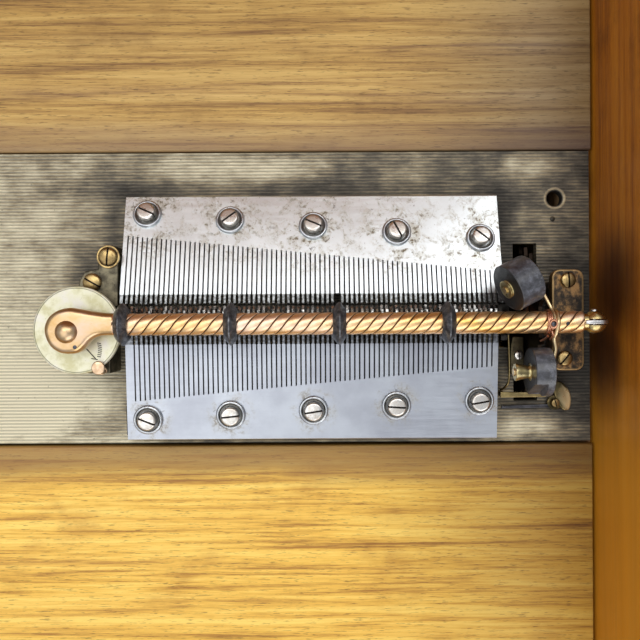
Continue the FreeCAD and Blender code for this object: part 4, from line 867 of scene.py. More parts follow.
# %% Star banks
def star_bank(first_tooth, last_tooth, seed):
    """Wheels at the teeth's middles: corner = (x, r cos t, r sin t) with r swapping between point and root."""
    draw = np.random.default_rng(seed)
    k = np.arange(first_tooth, last_tooth + 1)
    x = COMB_X + (k + 0.5) * PITCH
    step = np.arange(16)
    radius = np.where(step % 2, 3.3, 5.95)
    t = 2 * np.pi * step / 16 + draw.uniform(-0.12, 0.12, (len(k), 1))
    sides = np.array([-0.5, 0.5])
    ring = np.stack([
        np.broadcast_to(x[:, None, None] + sides[None, :, None], (len(k), 2, 16)),
        np.broadcast_to((STAR_Y + radius * np.cos(t))[:, None], (len(k), 2, 16)),
        np.broadcast_to((STAR_Z + radius * np.sin(t))[:, None], (len(k), 2, 16)),
    ], -1)
    start = 32 * np.arange(len(k))[:, None]
    around = np.arange(16)
    walls = np.stack([around, (around + 1) % 16, (around + 1) % 16 + 16, around + 16], 1)
    walls = (start[:, :, None] + walls[None]).reshape(-1, 4)
    caps = np.concatenate([start + around[::-1], start + 16 + around])
    hub = np.array([(1.32, -0.95), (2.2, -0.95), (2.2, 0.95), (1.32, 0.95)])
    hubs = [stood(turned(hub, 12, ring=True), (mid, STAR_Y, STAR_Z), (1, 0, 0)) for mid in x]
    return gather((ring.reshape(-1, 3), [walls, caps]), *hubs)


piece(
    "star_wheels_inner", star_bank(1, MIDDLE - 1, 11), star_steel, "stars_inner",
    ["star_bank_inner"], crease=20,
)
piece(
    "star_wheels_outer", star_bank(MIDDLE + 1, TEETH - 2, 12), star_steel, "stars_outer",
    ["star_bank_outer"], crease=20,
)

# %% [markdown]
# ## The pressure bar
# The bar is a round rod with four shallow grooves wound round it like the strands of a rope. Its grid is wound with
# the grooves: column j starts at its own angle and turns with x, so a groove stays in the same columns.

# %% Bar shape
BAR_Y, BAR_Z, BAR_R = 2.4, 176.15, 4.75
LEAD, BAR_START, BAR_STOP, BAR_ROWS = 20.8, 19.2, 218.0, 360
bar_x = np.concatenate([[BAR_START, BAR_START], np.linspace(BAR_START, 217.6, BAR_ROWS), [BAR_STOP, BAR_STOP]])
ends = np.concatenate([[0.0, 0.93], np.ones(BAR_ROWS), [0.93, 0.0]])
spread = np.array([-45, -34, -24, -16, -10, -6.5, -3.5, 0, 3.5, 6.5, 10, 16, 24, 34])
local = np.radians((spread[None] + 90.0 * np.arange(4)[:, None]).ravel())
from_groove = np.abs((local + np.pi / 4) % (np.pi / 2) - np.pi / 4)
cutting = np.exp(-((from_groove / math.radians(5.2)) ** 2))
crown = 0.16 * (1 - np.cos(4 * from_groove)) / 2
radius = BAR_R - 0.16 + crown - 0.40 * cutting
angle = local[None] - 2 * np.pi * (bar_x[:, None] - BAR_START) / LEAD
r = radius[None] * ends[:, None]
bar_rings = np.stack(
    [np.broadcast_to(bar_x[:, None], r.shape), BAR_Y + r * np.cos(angle), BAR_Z + r * np.sin(angle)], -1,
)
bar_layer = np.broadcast_to(cutting[None], r.shape)

# %% Bar finish
bar_finish = Finish("copper_gold_bar", Metallic=1.0)
blush = bar_finish.noise(16.0, (2.5, 1, 1), 4.0, 0.6)
warm = bar_finish.ramp(
    blush, (0.34, (0.80, 0.47, 0.14)), (0.50, (0.90, 0.61, 0.33)), (0.66, (0.92, 0.68, 0.52)),
)
freckle = bar_finish.fit(bar_finish.noise(0.7, (3, 1, 1), 6.0, 0.75), 0.56, 0.68, 0.0, 0.55)
warm = bar_finish.over(freckle, warm, (0.40, 0.19, 0.06))
# The bar is darker in its grooves, from the painted groove layer.
groove_darkening = bar_finish.fit(bar_finish.layer("groove"), 0.08, 0.75)
warm = bar_finish.over(groove_darkening, warm, (0.11, 0.05, 0.02))
bar_shine = bar_finish.plus(bar_finish.fit(blush, 0.3, 0.7, 0.33, 0.44), bar_finish.times(groove_darkening, 0.3))
bar_gold = bar_finish.done(warm, bar_shine, bar_finish.noise(0.5, detail=5.0), 0.04, 0.3)
piece(
    "rope_bar", skin(bar_rings), bar_gold, "bar", ["twisted_bar"], crease=60,
    layers={"groove": bar_layer},
)

# %% [markdown]
# ## The bar's left end
# Over the disc's middle the bar spreads into a flat drop-shaped boss with a small dome. Its rim is rounded over by
# several millimetres, so it looks poured rather than cut. The neck swells up to meet the round bar.

# %% Boss
boss_corners = [
    (24.0, -2.1), (
        24.0, 7.1,
    ), (16.0, 7.4), (10.0, 8.2), (4.1, 9.3), (-0.1, 9.7), (-4.8, 8.5), (-8.4, 5.8), (-10.2, 1.7), (-9.9, -2.4),
    (-7.8, -6.6), (-4.2, -9.2), (-0.1, -9.9), (4.1, -9.3), (7.0, -6.9), (9.4, -4.2), (12.3, -2.6), (16.0, -2.1),
]
boss_outline = smooth_line(boss_corners[1:] + boss_corners[:1], 7)
boss_body = slab(boss_outline, 171.0, 178.4, 2.6, 9)
dome_profile = [
    (0.01, 3.0), (1.2, 2.93), (2.3, 2.62), (3.3, 2.1), (4.1, 1.4), (4.6, 0.6), (4.9, 0.0), (5.3, -0.25),
    (5.6, -1.2),
]
boss_dome = stood(turned(dome_profile, 40), (-0.5, -0.6, 178.2))
pin = stood(turned([(0.01, 0.1), (0.5, 0.1), (0.85, 0.0), (0.85, -1.0)], 20), (3.2, -7.0, 178.45))
boss_finish = Finish("boss_copper_gold", Metallic=1.0)
haze = boss_finish.noise(9.0, (1.5, 1, 1), 4.0, 0.6)
tint = boss_finish.ramp(
    haze, (0.36, (0.52, 0.33, 0.14)), (0.50, (0.60, 0.42, 0.24)), (0.64, (0.64, 0.46, 0.33)),
)
rubbed = boss_finish.fit(boss_finish.noise(1.1, (2, 1, 1), 6.0, 0.7), 0.60, 0.70, 0.0, 0.4)
tint = boss_finish.over(rubbed, tint, (0.42, 0.20, 0.07))
boss_gold = boss_finish.done(
    tint, boss_finish.fit(haze, 0.3, 0.7, 0.27, 0.38), boss_finish.noise(0.6, detail=4.0), 0.04, 0.25,
)
piece("drop_boss", gather(boss_body, boss_dome), boss_gold, "bar", ["centre_boss"], crease=50)
piece("boss_pin", pin, dark_steel, "bar")

# %% [markdown]
# ## Guide rollers
# Four lens-shaped rollers turn on the bar and keep the disc down on the star wheels. Each is turned: a hub that
# clears the bar, two dished sides and a thin ridge round the middle.

# %% Guide rollers
ridge = [(4.83, -3.2), (6.0, -3.2), (6.5, -2.9), (7.6, -1.9), (8.4, -1.25), (8.85, -0.6), (9.15, -0.3), (9.15, 0.3),
         (8.85, 0.6), (8.4, 1.25), (7.6, 1.9), (6.5, 2.9), (6.0, 3.2), (4.83, 3.2)]
roller_finish = Finish("roller_blackened_steel", Metallic=0.7)
scuff = roller_finish.noise(2.2, detail=6.0, rough=0.7)
shade = roller_finish.ramp(
    scuff, (0.36, (0.035, 0.036, 0.040)), (0.52, (0.10, 0.102, 0.110)), (0.68, (0.24, 0.24, 0.25)),
)
roller_black = roller_finish.done(shade, roller_finish.fit(scuff, 0.3, 0.7, 0.40, 0.26), scuff, 0.08, 0.4)
for k in range(4):
    spot = (22.95 + 46.0 * k, BAR_Y, BAR_Z)
    shape = stood(turned(np.array(ridge) * [1.0, 0.88], 64, ring=True), spot, (1, 0, 0))
    piece(
        f"guide_roller_{k + 1}", shape, roller_black, f"roller_{k + 1}",
        [f"bar_roller_{k + 1}"], crease=25,
    )

# %% [markdown]
# ## The disc's turntable
# The disc sits on a pale brass turntable that turns with it. A fine turned line runs inside its rim. The real one
# has a few engraved letters; here plain ticks take that place. A small lever with a round button stands beside it.

# %% Turntable
TABLE_TOP = 166.5
table_profile = [
    (3.06, -4.1), (6.6, -4.1), (7.0, -3.7), (7.0, -3.1), (
        18.4, -2.9,
    ), (19.1, -2.5), (19.3, -1.9), (19.3, -0.6), (19.0, -0.15),
    (18.6, -0.05), (18.45, -0.28), (18.3, -0.02), (17.0, 0.0), (6.0, 0.0), (3.5, 0.0), (3.06, -0.3),
]
table_shape = stood(turned(table_profile, 128, ring=True), (0, 0, TABLE_TOP))
table_finish = Finish("pale_turntable_brass", Metallic=0.45, Specular_IOR_Level=0.4)
cloudy = table_finish.noise(8.0, detail=5.0, rough=0.6)
pale = table_finish.ramp(
    cloudy, (0.36, (0.52, 0.49, 0.29)), (0.50, (0.68, 0.66, 0.48)), (0.64, (0.72, 0.69, 0.60)),
)
tarnish = table_finish.fit(table_finish.noise(1.4, detail=6.0, rough=0.7), 0.60, 0.70, 0.0, 0.5)
pale = table_finish.over(tarnish, pale, (0.34, 0.30, 0.14))
# The turned line's groove is darkened: painted shade with some dirt.
ring_line = table_finish.layer("shade_and_dirt")
pale = table_finish.over(ring_line, pale, (0.16, 0.14, 0.08))
pale_brass = table_finish.done(
    pale, table_finish.fit(cloudy, 0.3, 0.7, 0.30, 0.42), table_finish.noise(0.4, detail=4.0), 0.03, 0.3,
)
table_line_shade_and_dirt = np.repeat([0.75 if abs(r - 18.45) < 0.05 else 0.0 for r, _ in table_profile], 128)
piece("turntable_disc", table_shape, pale_brass, "turntable", ["turntable"], crease=25,
      layers={"shade_and_dirt": table_line_shade_and_dirt})

# %% Ticks
ink = metal("tick_ink", (0.02, 0.018, 0.016), (0.05, 0.045, 0.04), amount=0.2, rough=0.6)


def mark(start, end, half):
    """A thin raised line between two points of the turntable's top."""
    start, end = np.asarray(start, float), np.asarray(end, float)
    way = (end - start) / np.linalg.norm(end - start)
    side = half * np.array([-way[1], way[0]])
    return slab(
        [start - side, end - side, end + side, start + side], TABLE_TOP - 0.2, TABLE_TOP + 0.05, 0.02, 2,
    )


ticks = [mark((4.4, -8.2), (8.4, -12.6), 0.24), mark((6.4, -12.4), (9.2, -12.9), 0.2)]
for y in np.linspace(-5.6, -11.4, 8):
    start = 9.4 - 0.045 * (y + 8.4) ** 2
    ticks.append(mark((start, y), (start + 1.7, y - 0.35), 0.2))
piece("turntable_ticks", gather(*ticks), ink, "turntable")

# %% Index lever
lever_low = 160.8
button = np.array([9.8, -16.5])
lever_arm = slab(
    softened([(-1.2, -1.7), (1.6, -1.2), (12.4, -18.6), (9.4, -20.3)], 1.2), lever_low, lever_low + 1.3,
    0.2, 3,
)
lever_ring = turned(softened([(3.1, 0), (6.1, 0), (6.1, 1.3), (3.1, 1.3)], 0.25), 40, ring=True)
lever_cap = turned(
    softened([(0.01, 0.0), (2.7, 0.0), (3.05, 0.6), (2.8, 1.3), (0.01, 1.5)], 0.3, closed=False), 36,
)
parts = [lever_arm, stood(lever_ring, (0, 0, lever_low)), stood(peg(1.2, 6.4), (10.55, -18.27, lever_low)),
         stood(lever_cap, (*button, lever_low + 6.2))]
button_brass = metal("button_brass", (0.74, 0.54, 0.36), (0.58, 0.40, 0.25), (0.2, 0.12, 0.06), 0.3, 0.34, 2.0)
piece("lever_and_button", gather(*parts), button_brass, "index", ["index_lever"])

# %% [markdown]
# ## Eased copies of CAD pieces
# Some CAD pieces already have the right outline, but their edges are knife sharp. A merged copy with a narrow bevel
# keeps the shape, catches light along its edges, and stands in for the node.


# %% A copy with eased edges
def eased(node, name, finish, body, width, segments):
    """Copy a CAD node's mesh, merge its loose triangles and flat faces, and bevel its sharp corners."""
    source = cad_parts[node]
    mesh = source.data.copy()
    mesh.name = name
    work = bmesh.new()
    work.from_mesh(mesh)
    bmesh.ops.remove_doubles(work, verts=work.verts, dist=1e-6)
    bmesh.ops.dissolve_limit(work, angle_limit=math.radians(0.5), verts=work.verts, edges=work.edges)
    work.to_mesh(mesh)
    work.free()
    mesh.materials.clear()
    mesh.materials.append(finish)
    copy = bpy.data.objects.new(name, mesh)
    scene.collection.objects.link(copy)
    edge = copy.modifiers.new("eased", "BEVEL")
    edge.width = width * MM
    edge.segments = segments
    edge.limit_method = "ANGLE"
    edge.angle_limit = math.radians(40.0)
    mesh.shade_smooth()
    mesh.set_sharp_from_angle(angle=math.radians(30))
    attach(copy, body)
    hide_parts(node)
    print(name, "eased by", width, "mm")


for node, finish, width in (
    ("plinth", case_wood_x, 1.2), ("case_front", case_wood_x, 0.8), ("case_back", case_wood_x, 0.8),
    ("case_left", case_wood_y, 0.8), ("case_right", wall_wood, 0.8), (
        "bottom_board", plain_wood, 0.8,
    ), ("bed_rails", plain_wood, 0.6),
):
    eased(node, node + "_wood", finish, "case", width, 3)
for node, finish in (
    ("lid_front", case_wood_x), ("lid_back", case_wood_x), ("lid_left", case_wood_y),
    ("lid_right", case_wood_y),
):
    eased(node, node + "_wood", finish, "lid", 0.8, 3)
eased("lid_panel", "lid_panel_wood", case_wood_x, "lid", 2.4, 4)
eased("centre_bracket", "centre_bracket_cast", centre_bronze, "case", 0.4, 2)
eased("comb_base_rear", "rear_comb_riser", iron, "case", 0.3, 2)
eased("comb_base_front", "front_comb_riser", iron, "case", 0.3, 2)

# %% [markdown]
# ## The bar's right-hand end
# Here the bar ends in a brass clevis that straddles a steel tongue, so that the whole bar lifts for a new disc. The
# clevis is a rounded head with a slot through it. Each of its cheeks is drawn as a closed cap of a ball.

# %% Bracket plate and tongue
HINGE_X = 223.25
plate_finish = Finish("bracket_bronze", Metallic=0.7)
patina = plate_finish.noise(4.5, (1, 1.6, 1), 6.0, 0.7)
brown = plate_finish.ramp(
    patina, (0.42, (0.022, 0.018, 0.014)), (0.50, (0.065, 0.044, 0.026)), (0.61, (0.32, 0.18, 0.07)),
)
rim = plate_finish.times(
    plate_finish.layer("rim"),
    plate_finish.fit(plate_finish.noise(5.0, detail=4.0), 0.3, 0.55, 0.45, 1.0),
)
brown = plate_finish.over(rim, brown, (0.58, 0.38, 0.16))
plate_bronze = plate_finish.done(
    brown, plate_finish.fit(patina, 0.3, 0.7, 0.50, 0.30), plate_finish.noise(0.9, detail=5.0), 0.12, 0.4,
)
plate_outline = softened([(211.6, -19.4), (225.8, -19.4), (225.8, 26.1), (211.6, 26.1)], 4.2, 9)
PLATE_TOP = 157.0
plate_shape = slab(plate_outline, 152.2, PLATE_TOP, 0.4, 4, 0.6)
post_shape = slab(
    softened([(213.8, -14.5), (223.7, -14.5), (223.7, 21.3), (213.8, 21.3)], 0.8), 140.0, 152.3, 0.2, 2,
)
rim_layer = np.repeat([0.2, 0.2, 0.2, 0.3, 0.5, 0.9, 1.0, 0.5, 0.0], len(plate_outline))
piece("hinge_bracket_plate", gather(plate_shape, post_shape), plate_bronze, "case", ["hinge_bracket"],
      layers={"rim": np.concatenate([rim_layer, np.zeros(len(post_shape[0]))])})
tongue_outline = softened([
    (-4, -19.15), (2.2, -19.15), (3.2, -6), (5.6, -2.2), (5.7, 1.6), (3.6, 4.4), (-1.5, 4.9), (-5.4, 3.8),
    (-6.2, 0), (-4.6, -4),
], 2.0, 6)
tongue_flat = slab(tongue_outline, -0.95, 0.95, 0.55, 5)
tongue_shape = (
    tongue_flat[0] @ np.array([[1, 0, 0], [0, 0, 1], [0, -1, 0]]).astype(float) + [HINGE_X, BAR_Y, BAR_Z],
    tongue_flat[1],
)
piece("hinge_tongue_plate", tongue_shape, steel, "case", ["hinge_tongue"], crease=40)

pin_shape = turned(
    softened([(0.01, 0), (1.1, 0), (1.42, 0.4), (1.42, 9.9), (1.1, 10.3), (0.01, 10.3)], 0.2, closed=False),
    32,
)
piece(
    "hinge_pin_rod", stood(pin_shape, (HINGE_X, -2.35, BAR_Z), (0, 1, 0)), steel, "case",
    ["hinge_pin"],
)

# %% Clevis and small bar screw


def clevis_cheek(sign):
    """One cheek: chords of a ball, y from the slot's face outwards, radius = sqrt(R^2 - y^2), stretched along X."""
    y = sign * np.concatenate([[1.35], np.linspace(1.35, 4.85, 12)])
    wide = np.sqrt(np.maximum(24.6 - y**2, 0.0))
    wide[0] = 0.0
    wide[-1] = 0.3
    t = 2 * np.pi * np.arange(40) / 40
    rings = np.stack([
        HINGE_X + 0.3 + wide[:, None] * np.cos(t),
        BAR_Y + y[:, None] + 0 * t,
        BAR_Z + 0.86 * wide[:, None] * np.sin(t),
    ], -1)
    return skin(rings)


neck = stood(peg(3.6, 2.6, 40), (217.3, BAR_Y, BAR_Z), (1, 0, 0))
clevis_finish = metal(
    "clevis_brass", (0.66, 0.52, 0.24), (0.50, 0.38, 0.17), (0.20, 0.13, 0.06), 0.35, 0.27, 3.0,
)
piece(
    "clevis", gather(clevis_cheek(1), clevis_cheek(-1), neck), clevis_finish, "bar",
    ["clevis_end"], crease=40,
)
bar_screw = stood(
    slotted(0.8, 0.3, 0.2, 0.15, 0.05, 9)[:2], (210.6, BAR_Y - 0.6, BAR_Z + BAR_R - 0.15), (0, -0.12, 1),
    50,
)
# Painted shade: a small dark cap inside the copper eye stands for the shade in its hole.
eye_hole_shade = stood(
    turned([(0.01, 0.3), (0.7, 0.2), (1.0, 0.0), (1.0, -0.5), (0.01, -0.5)], 20), (204.3, 1.7, 181.75),
)
piece("bar_grub_screw", gather(bar_screw, eye_hole_shade), dark_steel, "bar")

# %% [markdown]
# ## Rubber edge rollers
# Two worn rubber rollers press the disc's edge down over the sprocket. The rear one is nearly whole, with a rough
# band at one end. The front one is cracked, and a flat piece has broken out of it. Both sit on brass hubs.

# %% Rubber
rubber_finish = Finish("worn_rubber", Coat_Weight=0.5, Coat_Roughness=0.2)
age = rubber_finish.noise(3.0, detail=6.0, rough=0.7)
grey = rubber_finish.ramp(
    age, (0.36, (0.022, 0.022, 0.026)), (0.52, (0.050, 0.052, 0.062)), (0.68, (0.12, 0.125, 0.15)),
)
grey = rubber_finish.over(rubber_finish.layer("face"), grey, (0.006, 0.006, 0.007))
crumbs = rubber_finish.fit(rubber_finish.noise(0.8, detail=6.0, rough=0.8), 0.52, 0.66)
bleached = rubber_finish.times(crumbs, rubber_finish.layer("wear"))
grey = rubber_finish.over(bleached, grey, (0.22, 0.21, 0.20))
rubber = rubber_finish.done(
    grey, rubber_finish.fit(age, 0.3, 0.7, 0.34, 0.52), rubber_finish.noise(0.7, detail=6.0, rough=0.7),
    0.15, 0.5,
)
DRUM_Z, DRUM_R, HUB_R = 177.3, 10.3, 3.9


def drum(length, wear_end, seed, chip=None):
    """A rubber tube about Z: r = R - crown at the ends - small random wear, with an optional flat cut on one side."""
    draw = np.random.default_rng(seed)
    half = length / 2
    z = np.concatenate([[-half, -half], np.linspace(0.35 - half, half - 0.35, 26), [half, half]])
    base = np.concatenate([[HUB_R, DRUM_R - 0.3], np.full(26, DRUM_R), [DRUM_R - 0.3, HUB_R]])
    t = 2 * np.pi * np.arange(96) / 96
    wear = np.clip((z / half - wear_end) / (1 - wear_end), 0, 1)[:, None] * np.ones(96)
    rough = 0.10 * blotches(z[:, None] * 3.0, t[None] * 14.0, 3.0, seed) * wear
    r = base[:, None] + np.where(
        base[:, None] > HUB_R + 1, np.minimum(rough, 0.0) - 0.05 * draw.random((30, 96)) * wear, 0,
    )
    if chip:
        at, spread, depth, upto = chip
        off = np.abs((t - math.radians(at) + np.pi) % (2 * np.pi) - np.pi)[None]
        flat = (DRUM_R - depth) / np.maximum(np.cos(off), 0.2)
        cutting = (off < math.radians(spread)) & (z[:, None] < upto) & (base[:, None] > HUB_R + 1)
        r = np.where(cutting, np.minimum(r, flat), r)
    rings = np.stack([r * np.cos(t), r * np.sin(t), np.broadcast_to(z[:, None], r.shape)], -1)
    face = np.zeros(wear.shape)
    face[[0, 1, -2, -1]] = 1.0
    return skin(rings, closed=True), {"wear": wear, "face": face}


rear_centre, rear_way = np.array([190.8, 19.0, 178.6]), np.array([0.8757, 0.4271, -0.2250])
front_centre, front_way = np.array([199.6, -18.6, DRUM_Z]), np.array([1.0, 0.0, 0.0])
DRUMS = {
    "rear": (rear_centre, rear_way, drum(11.4, 0.2, 21)),
    "front": (front_centre, front_way, drum(8.4, -0.2, 22, (248.0, 40.0, 3.0, 0.9))),
}
for side, (centre, way, (shape, painted)) in DRUMS.items():
    piece(f"{side}_rubber_drum", stood(shape, centre, way), rubber, f"drum_{side}", [f"edge_roller_{side}"],
          crease=25, layers=painted)

# %% Brass hubs
HUBS = {
    "rear": (
        [(1.66, -7.1), (3.5, -7.1), (4.1, -6.9), (3.4, -6.0), (3.85, -5.7), (3.85, 5.7), (1.66, 5.7)],
        0.25,
    ),
    "front": ([(1.66, -10.6), (3.5, -10.6), (3.8, -10.3), (3.2, -8.0), (2.7, -5.2), (2.9, -4.2), (3.85, -4.1),
               (3.85, 4.2), (1.66, 4.2)], 0.3),
}
for side, (corners, reach) in HUBS.items():
    hub = stood(turned(softened(corners, reach), 48, ring=True), *DRUMS[side][:2])
    piece(f"{side}_drum_hub", hub, hub_brass, f"drum_{side}", [f"edge_hub_{side}"])

# %% [markdown]
# ## Wire arms and their binding
# The rollers hang on brass wires that leave the bar at a clamp. An old repair binds them with copper wire, wound
# round the bar a few times, with a small eye on top. The windings are helices just proud of the bar.

# %% Arms, axles and windings
rear_end = rear_centre + 8.6 * rear_way
rear_arm = wire([
    rear_end + [0.3, 1.0, 0.2], rear_end + [0.8, -1.2, 0.0], (200.9, 15.9, 177.2), (203.0, 11.6, 177.6),
    (204.5, 8.0, 178.6), (204.9, 5.4, 180.6), (204.6, 2.8, 181.9),
], 0.75, 14)
front_arm = wire([(205.2, -19.2, 177.3), (205.3, -14.0, 177.3), (206.3, -9.0, 177.6), (205.4, -4.6, 178.6),
                  (205.8, -2.0, 180.2), (206.4, 2.4, 181.4), (206.6, 6.4, 179.0), (206.4, 7.4, 176.4)], 0.95, 14)
rear_axle = wire([rear_centre - 7.6 * rear_way, rear_centre + 8.7 * rear_way], 1.55, 20, 1)
front_axle = wire([front_centre - [11.2, 0, 0], front_centre + [5.9, 0, 0]], 1.55, 20, 1)
piece(
    "wire_arms", gather(rear_arm, front_arm, rear_axle, front_axle), wire_brass, "bar",
    ["roller_clamp"], crease=50,
)


def winding(start_x, end_x, turns, gap, thick, begin=0.0):
    """Wire wound on the bar: point = (x, gap cos t, gap sin t) about the bar's axis as x runs from start to end."""
    t = np.linspace(math.radians(begin), math.radians(begin) + 2 * np.pi * turns, int(26 * turns))
    x = np.linspace(start_x, end_x, len(t))
    line = np.stack([x, BAR_Y + gap * np.cos(t), BAR_Z + gap * np.sin(t)], 1)
    return wire(line, thick, 10, 0, (1.0, 0.0, 0.0))


eye_t = np.linspace(0, 2 * np.pi, 22)
eye = np.stack([204.3 + 1.5 * np.cos(eye_t), 1.7 + 1.6 * np.sin(eye_t), 181.9 + 0.25 * np.sin(eye_t)], 1)
twist = wire([(203.6, -1.0, 181.3), (204.4, -3.0, 180.2), (203.9, -4.6, 178.0), (204.8, -4.8, 175.6)], 0.45, 10)
tail = wire([(202.6, -3.4, 179.2), (202.0, -4.6, 177.0), (200.8, -5.6, 175.0)], 0.5, 10)
piece("copper_binding", gather(winding(202.4, 204.6, 3.0, 5.25, 0.45, 40), winding(205.0, 206.6, 2.0, 5.2, 0.4, 200),
                               wire(eye, 0.5, 10, 0), twist, tail), copper, "bar", crease=50)

# %% [markdown]
# ## Brackets' screws and small fittings on the bed
# A few brass screws hold the two brackets. Around the sprocket's window stand small fittings: two brass guide
# strips, a block with a steel screw, a copper leaf, two grey wires and the start lever.

# %% Bracket and bed screws
head_brass = metal(
    "head_brass", (0.46, 0.33, 0.14), (0.26, 0.18, 0.08), (0.10, 0.055, 0.025), 0.55, 0.32, 4.0, 1.0,
    0.05, "shade_and_dirt",
)


def brass_heads(name, sizes, posts, nodes):
    """Slotted brass heads of several sizes and their plain posts as one piece, with their slots painted dark."""
    sets = [heads(places, *size) for size, places in sizes]
    shape = gather(*(one for one, _ in sets), *posts)
    shade_and_dirt = np.concatenate([inside for _, inside in sets] + [np.zeros(len(points)) for points, _ in posts])
    piece(name, shape, head_brass, "case", nodes, crease=30, layers={"shade_and_dirt": shade_and_dirt})


UP = (0, 0, 1)
PIVOT = (217.0, -35.6)
CENTRE_TOP = 158.0
# Each set: radius, depth, slot, cut and dome, then the point, direction and turn of each head.
post = stood(peg(1.5, 3.8), (*PIVOT, BED_TOP))
collar_ring = stood(
    turned(softened([(4.3, 0), (5.2, 0), (5.2, 0.9), (4.3, 0.9)], 0.3), 40, ring=True),
    (11.8, 32.8, CENTRE_TOP),
)
brass_heads("bracket_brass_screws", [
    ((3.4, 2.4, 0.8, 0.9, 0.7), [((218.55, 21.3, PLATE_TOP), UP, 3), ((216.85, -13.9, PLATE_TOP), UP, -40)]),
    ((4.0, 2.6, 0.8, 0.9, 0.7), [((11.8, 32.8, CENTRE_TOP), UP, -6), ((4.6, 21.4, CENTRE_TOP), UP, 60)]),
    ((1.9, 0.8, 0.5, 0.4, 0.2), [((*PIVOT, 143.6), UP, 15)]),
], [post, collar_ring], ["bracket_screws"])
brass_heads("bed_brass_screws", [
    (
        (4.0, 2.4, 0.8, 0.9, 0.6),
        [((-229.0, y, 140.0), UP, turn) for y, turn in ((-45.0, 30), (13.155, 80), (74.3, 130))],
    ),
], [], ["bed_screws"])

# %% Guides and springs round the sprocket
strip_finish = metal("strip_brass", (0.40, 0.31, 0.14), (0.24, 0.18, 0.08), (0.08, 0.05, 0.03), 0.5, 0.34, 3.0)
block_finish = metal(
    "guide_block_bronze", (0.15, 0.125, 0.07), (0.08, 0.066, 0.042), (0.03, 0.02, 0.015), 0.5, 0.45, 3.0,
)
upright = wire([
    (194.3, -3.6, 147.0), (
        194.5, -12.0, 147.2,
    ), (194.6, -20.0, 147.2), (194.3, -25.5, 146.4), (192.9, -28.6, 143.6),
    (192.3, -29.4, 140.6),
], 0.55, 12)
long_strip = slab(
    softened([(189.1, -32.1), (210.1, -31.9), (210.1, -29.9), (189.1, -29.4)], 0.4), 151.2, 152.4, 0.3, 4,
)
strip_post = slab(
    softened([(189.6, -31.8), (192.4, -31.8), (192.4, -29.8), (189.6, -29.8)], 0.4), 140.0, 151.3, 0.1, 2,
)
piece("guide_strips", gather(upright, long_strip, strip_post), strip_finish, "case", crease=50)
block = slab(
    softened([(196.6, -4.4), (201.9, -4.4), (201.9, -9.6), (202.2, -22.0), (195.6, -22.0), (195.6, -9.6)], 0.7),
    140.0, 145.5, 0.5, 4,
)
piece("guide_block", block, block_finish, "case", crease=40)
# Painted shade in this screw's slot.
small_head, small_slot = heads([((199.2, -13.0, 145.5), UP, 5)], 2.1, 1.5, 0.5, 0.7, 0.5)
piece("guide_block_screw", small_head, screw_steel, "case", crease=30, layers={"shade_and_dirt": small_slot})
leaf = slab(softened([(196.6, 5.0), (202.7, 5.0), (202.7, 11.8), (201.3, 8.4)], 0.3), 150.0, 150.7, 0.2, 3)
bit = wire([(207.2, -4.4, 147.0), (207.4, -6.6, 147.6), (207.6, -8.6, 147.2)], 0.9, 12)
piece("copper_leaf", gather(leaf, bit), copper, "case", crease=40)
grey_wires = [wire(
    [(205.6, y, 148.0), (207.6, y + 0.1, 148.2), (209.4, y - 0.1, 148.4)], 0.5, 12,
) for y in (6.8, 8.5)]
piece("grey_wires", gather(*grey_wires), steel, "case", crease=50)

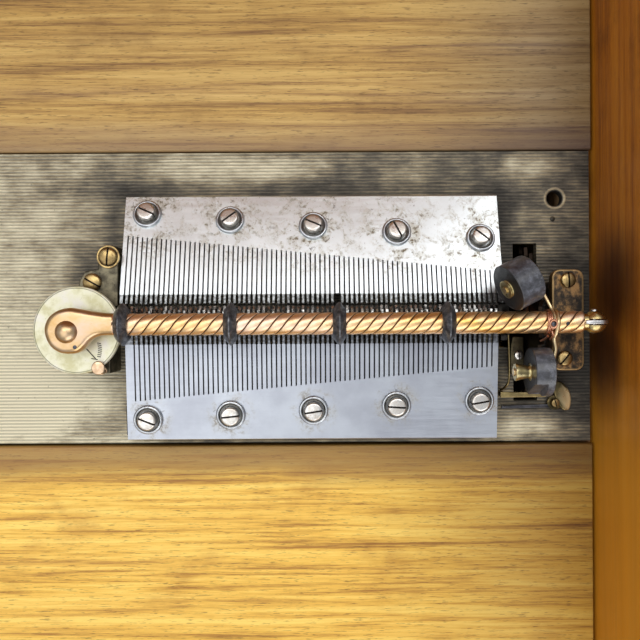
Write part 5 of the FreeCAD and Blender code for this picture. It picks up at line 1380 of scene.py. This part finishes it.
# %% Start lever with its curved finger
finger_line = smooth_line([
    (217.0, -25.2), (220.6, -26.2), (223.5, -29.6), (224.6, -34.0), (223.8, -38.4), (221.4, -39.2), (219.2, -37.4),
    (217.2, -33.4), (216.2, -29.0), (217.0, -25.2),
], 5)
finger = slab(finger_line[:-1], 140.5, 143.4, 0.7, 5)
hub = stood(turned(softened([(1.6, 0), (3.4, 0), (3.4, 2.0), (1.6, 2.0)], 0.3), 40, ring=True), (*PIVOT, 140.6))
arm = slab([(192.2, -38.3), (215.4, -38.0), (215.4, -36.4), (192.2, -37.1)], 140.6, 142.2, 0.2, 3)
lever_finish = Finish("lever_bronze", Metallic=0.8)
tarnish = lever_finish.noise(4.0, detail=5.0)
dull = lever_finish.ramp(
    tarnish, (0.36, (0.045, 0.038, 0.016)), (0.52, (0.11, 0.085, 0.035)), (0.68, (0.26, 0.19, 0.08)),
)
dull = lever_finish.over(lever_finish.layer("rim"), dull, (0.86, 0.72, 0.42))
lever_bronze = lever_finish.done(dull, lever_finish.fit(tarnish, 0.3, 0.7, 0.36, 0.26), tarnish, 0.05, 0.3)
rim_share = np.clip((finger[0][:, 0] - 221.6) / 1.6, 0, 1) * np.clip((-27.6 - finger[0][:, 1]) / 2.5, 0, 1)
lever_layer = {"rim": np.concatenate([rim_share, np.zeros(len(hub[0]))])}
piece("start_arm", arm, dark_steel, "start")
piece(
    "start_finger", gather(finger, hub), lever_bronze, "start", ["start_lever"], crease=40,
    layers=lever_layer,
)

# %% CAD nodes that keep their own shape
KEPT = {
    "star_gantry": oiled_steel, "damper_rails": dark_steel, "centre_spindle": steel, "spring_barrel": motor_brass,
    "drive_shaft": oiled_steel, "drive_sprocket": grimy_steel, "middle_arbor": oiled_steel,
    "governor_fly": motor_steel, "motor_frame": motor_brass, "winding_arbor": motor_steel, "click": motor_steel,
    "crank_bush": strip_finish, "crank_arm": crank_steel, "crank_grip": black_wood, "lid_hinges": strip_finish,
    "lid_leaves": strip_finish,
}
for node, finish in KEPT.items():
    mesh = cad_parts[node].data
    mesh.materials.clear()
    mesh.materials.append(finish)
print(len(KEPT), "CAD nodes with new finishes")

# %% [markdown]
# ## Floor
# The box stands on a plain pale floor. Only its soft shadow and a little bounce reach the object.

# %% Floor
floor_mesh = bpy.data.meshes.new("floor")
floor_mesh.from_pydata([(-3, -3, 0), (3, -3, 0), (3, 3, 0), (-3, 3, 0)], [], [(0, 1, 2, 3)])
floor = bpy.data.objects.new("floor", floor_mesh)
scene.collection.objects.link(floor)
floor_finish = Finish("pale_floor")
floor_mesh.materials.append(floor_finish.done((0.80, 0.80, 0.79), 0.75, floor_finish.noise(3.0), 0.05, 0.1))
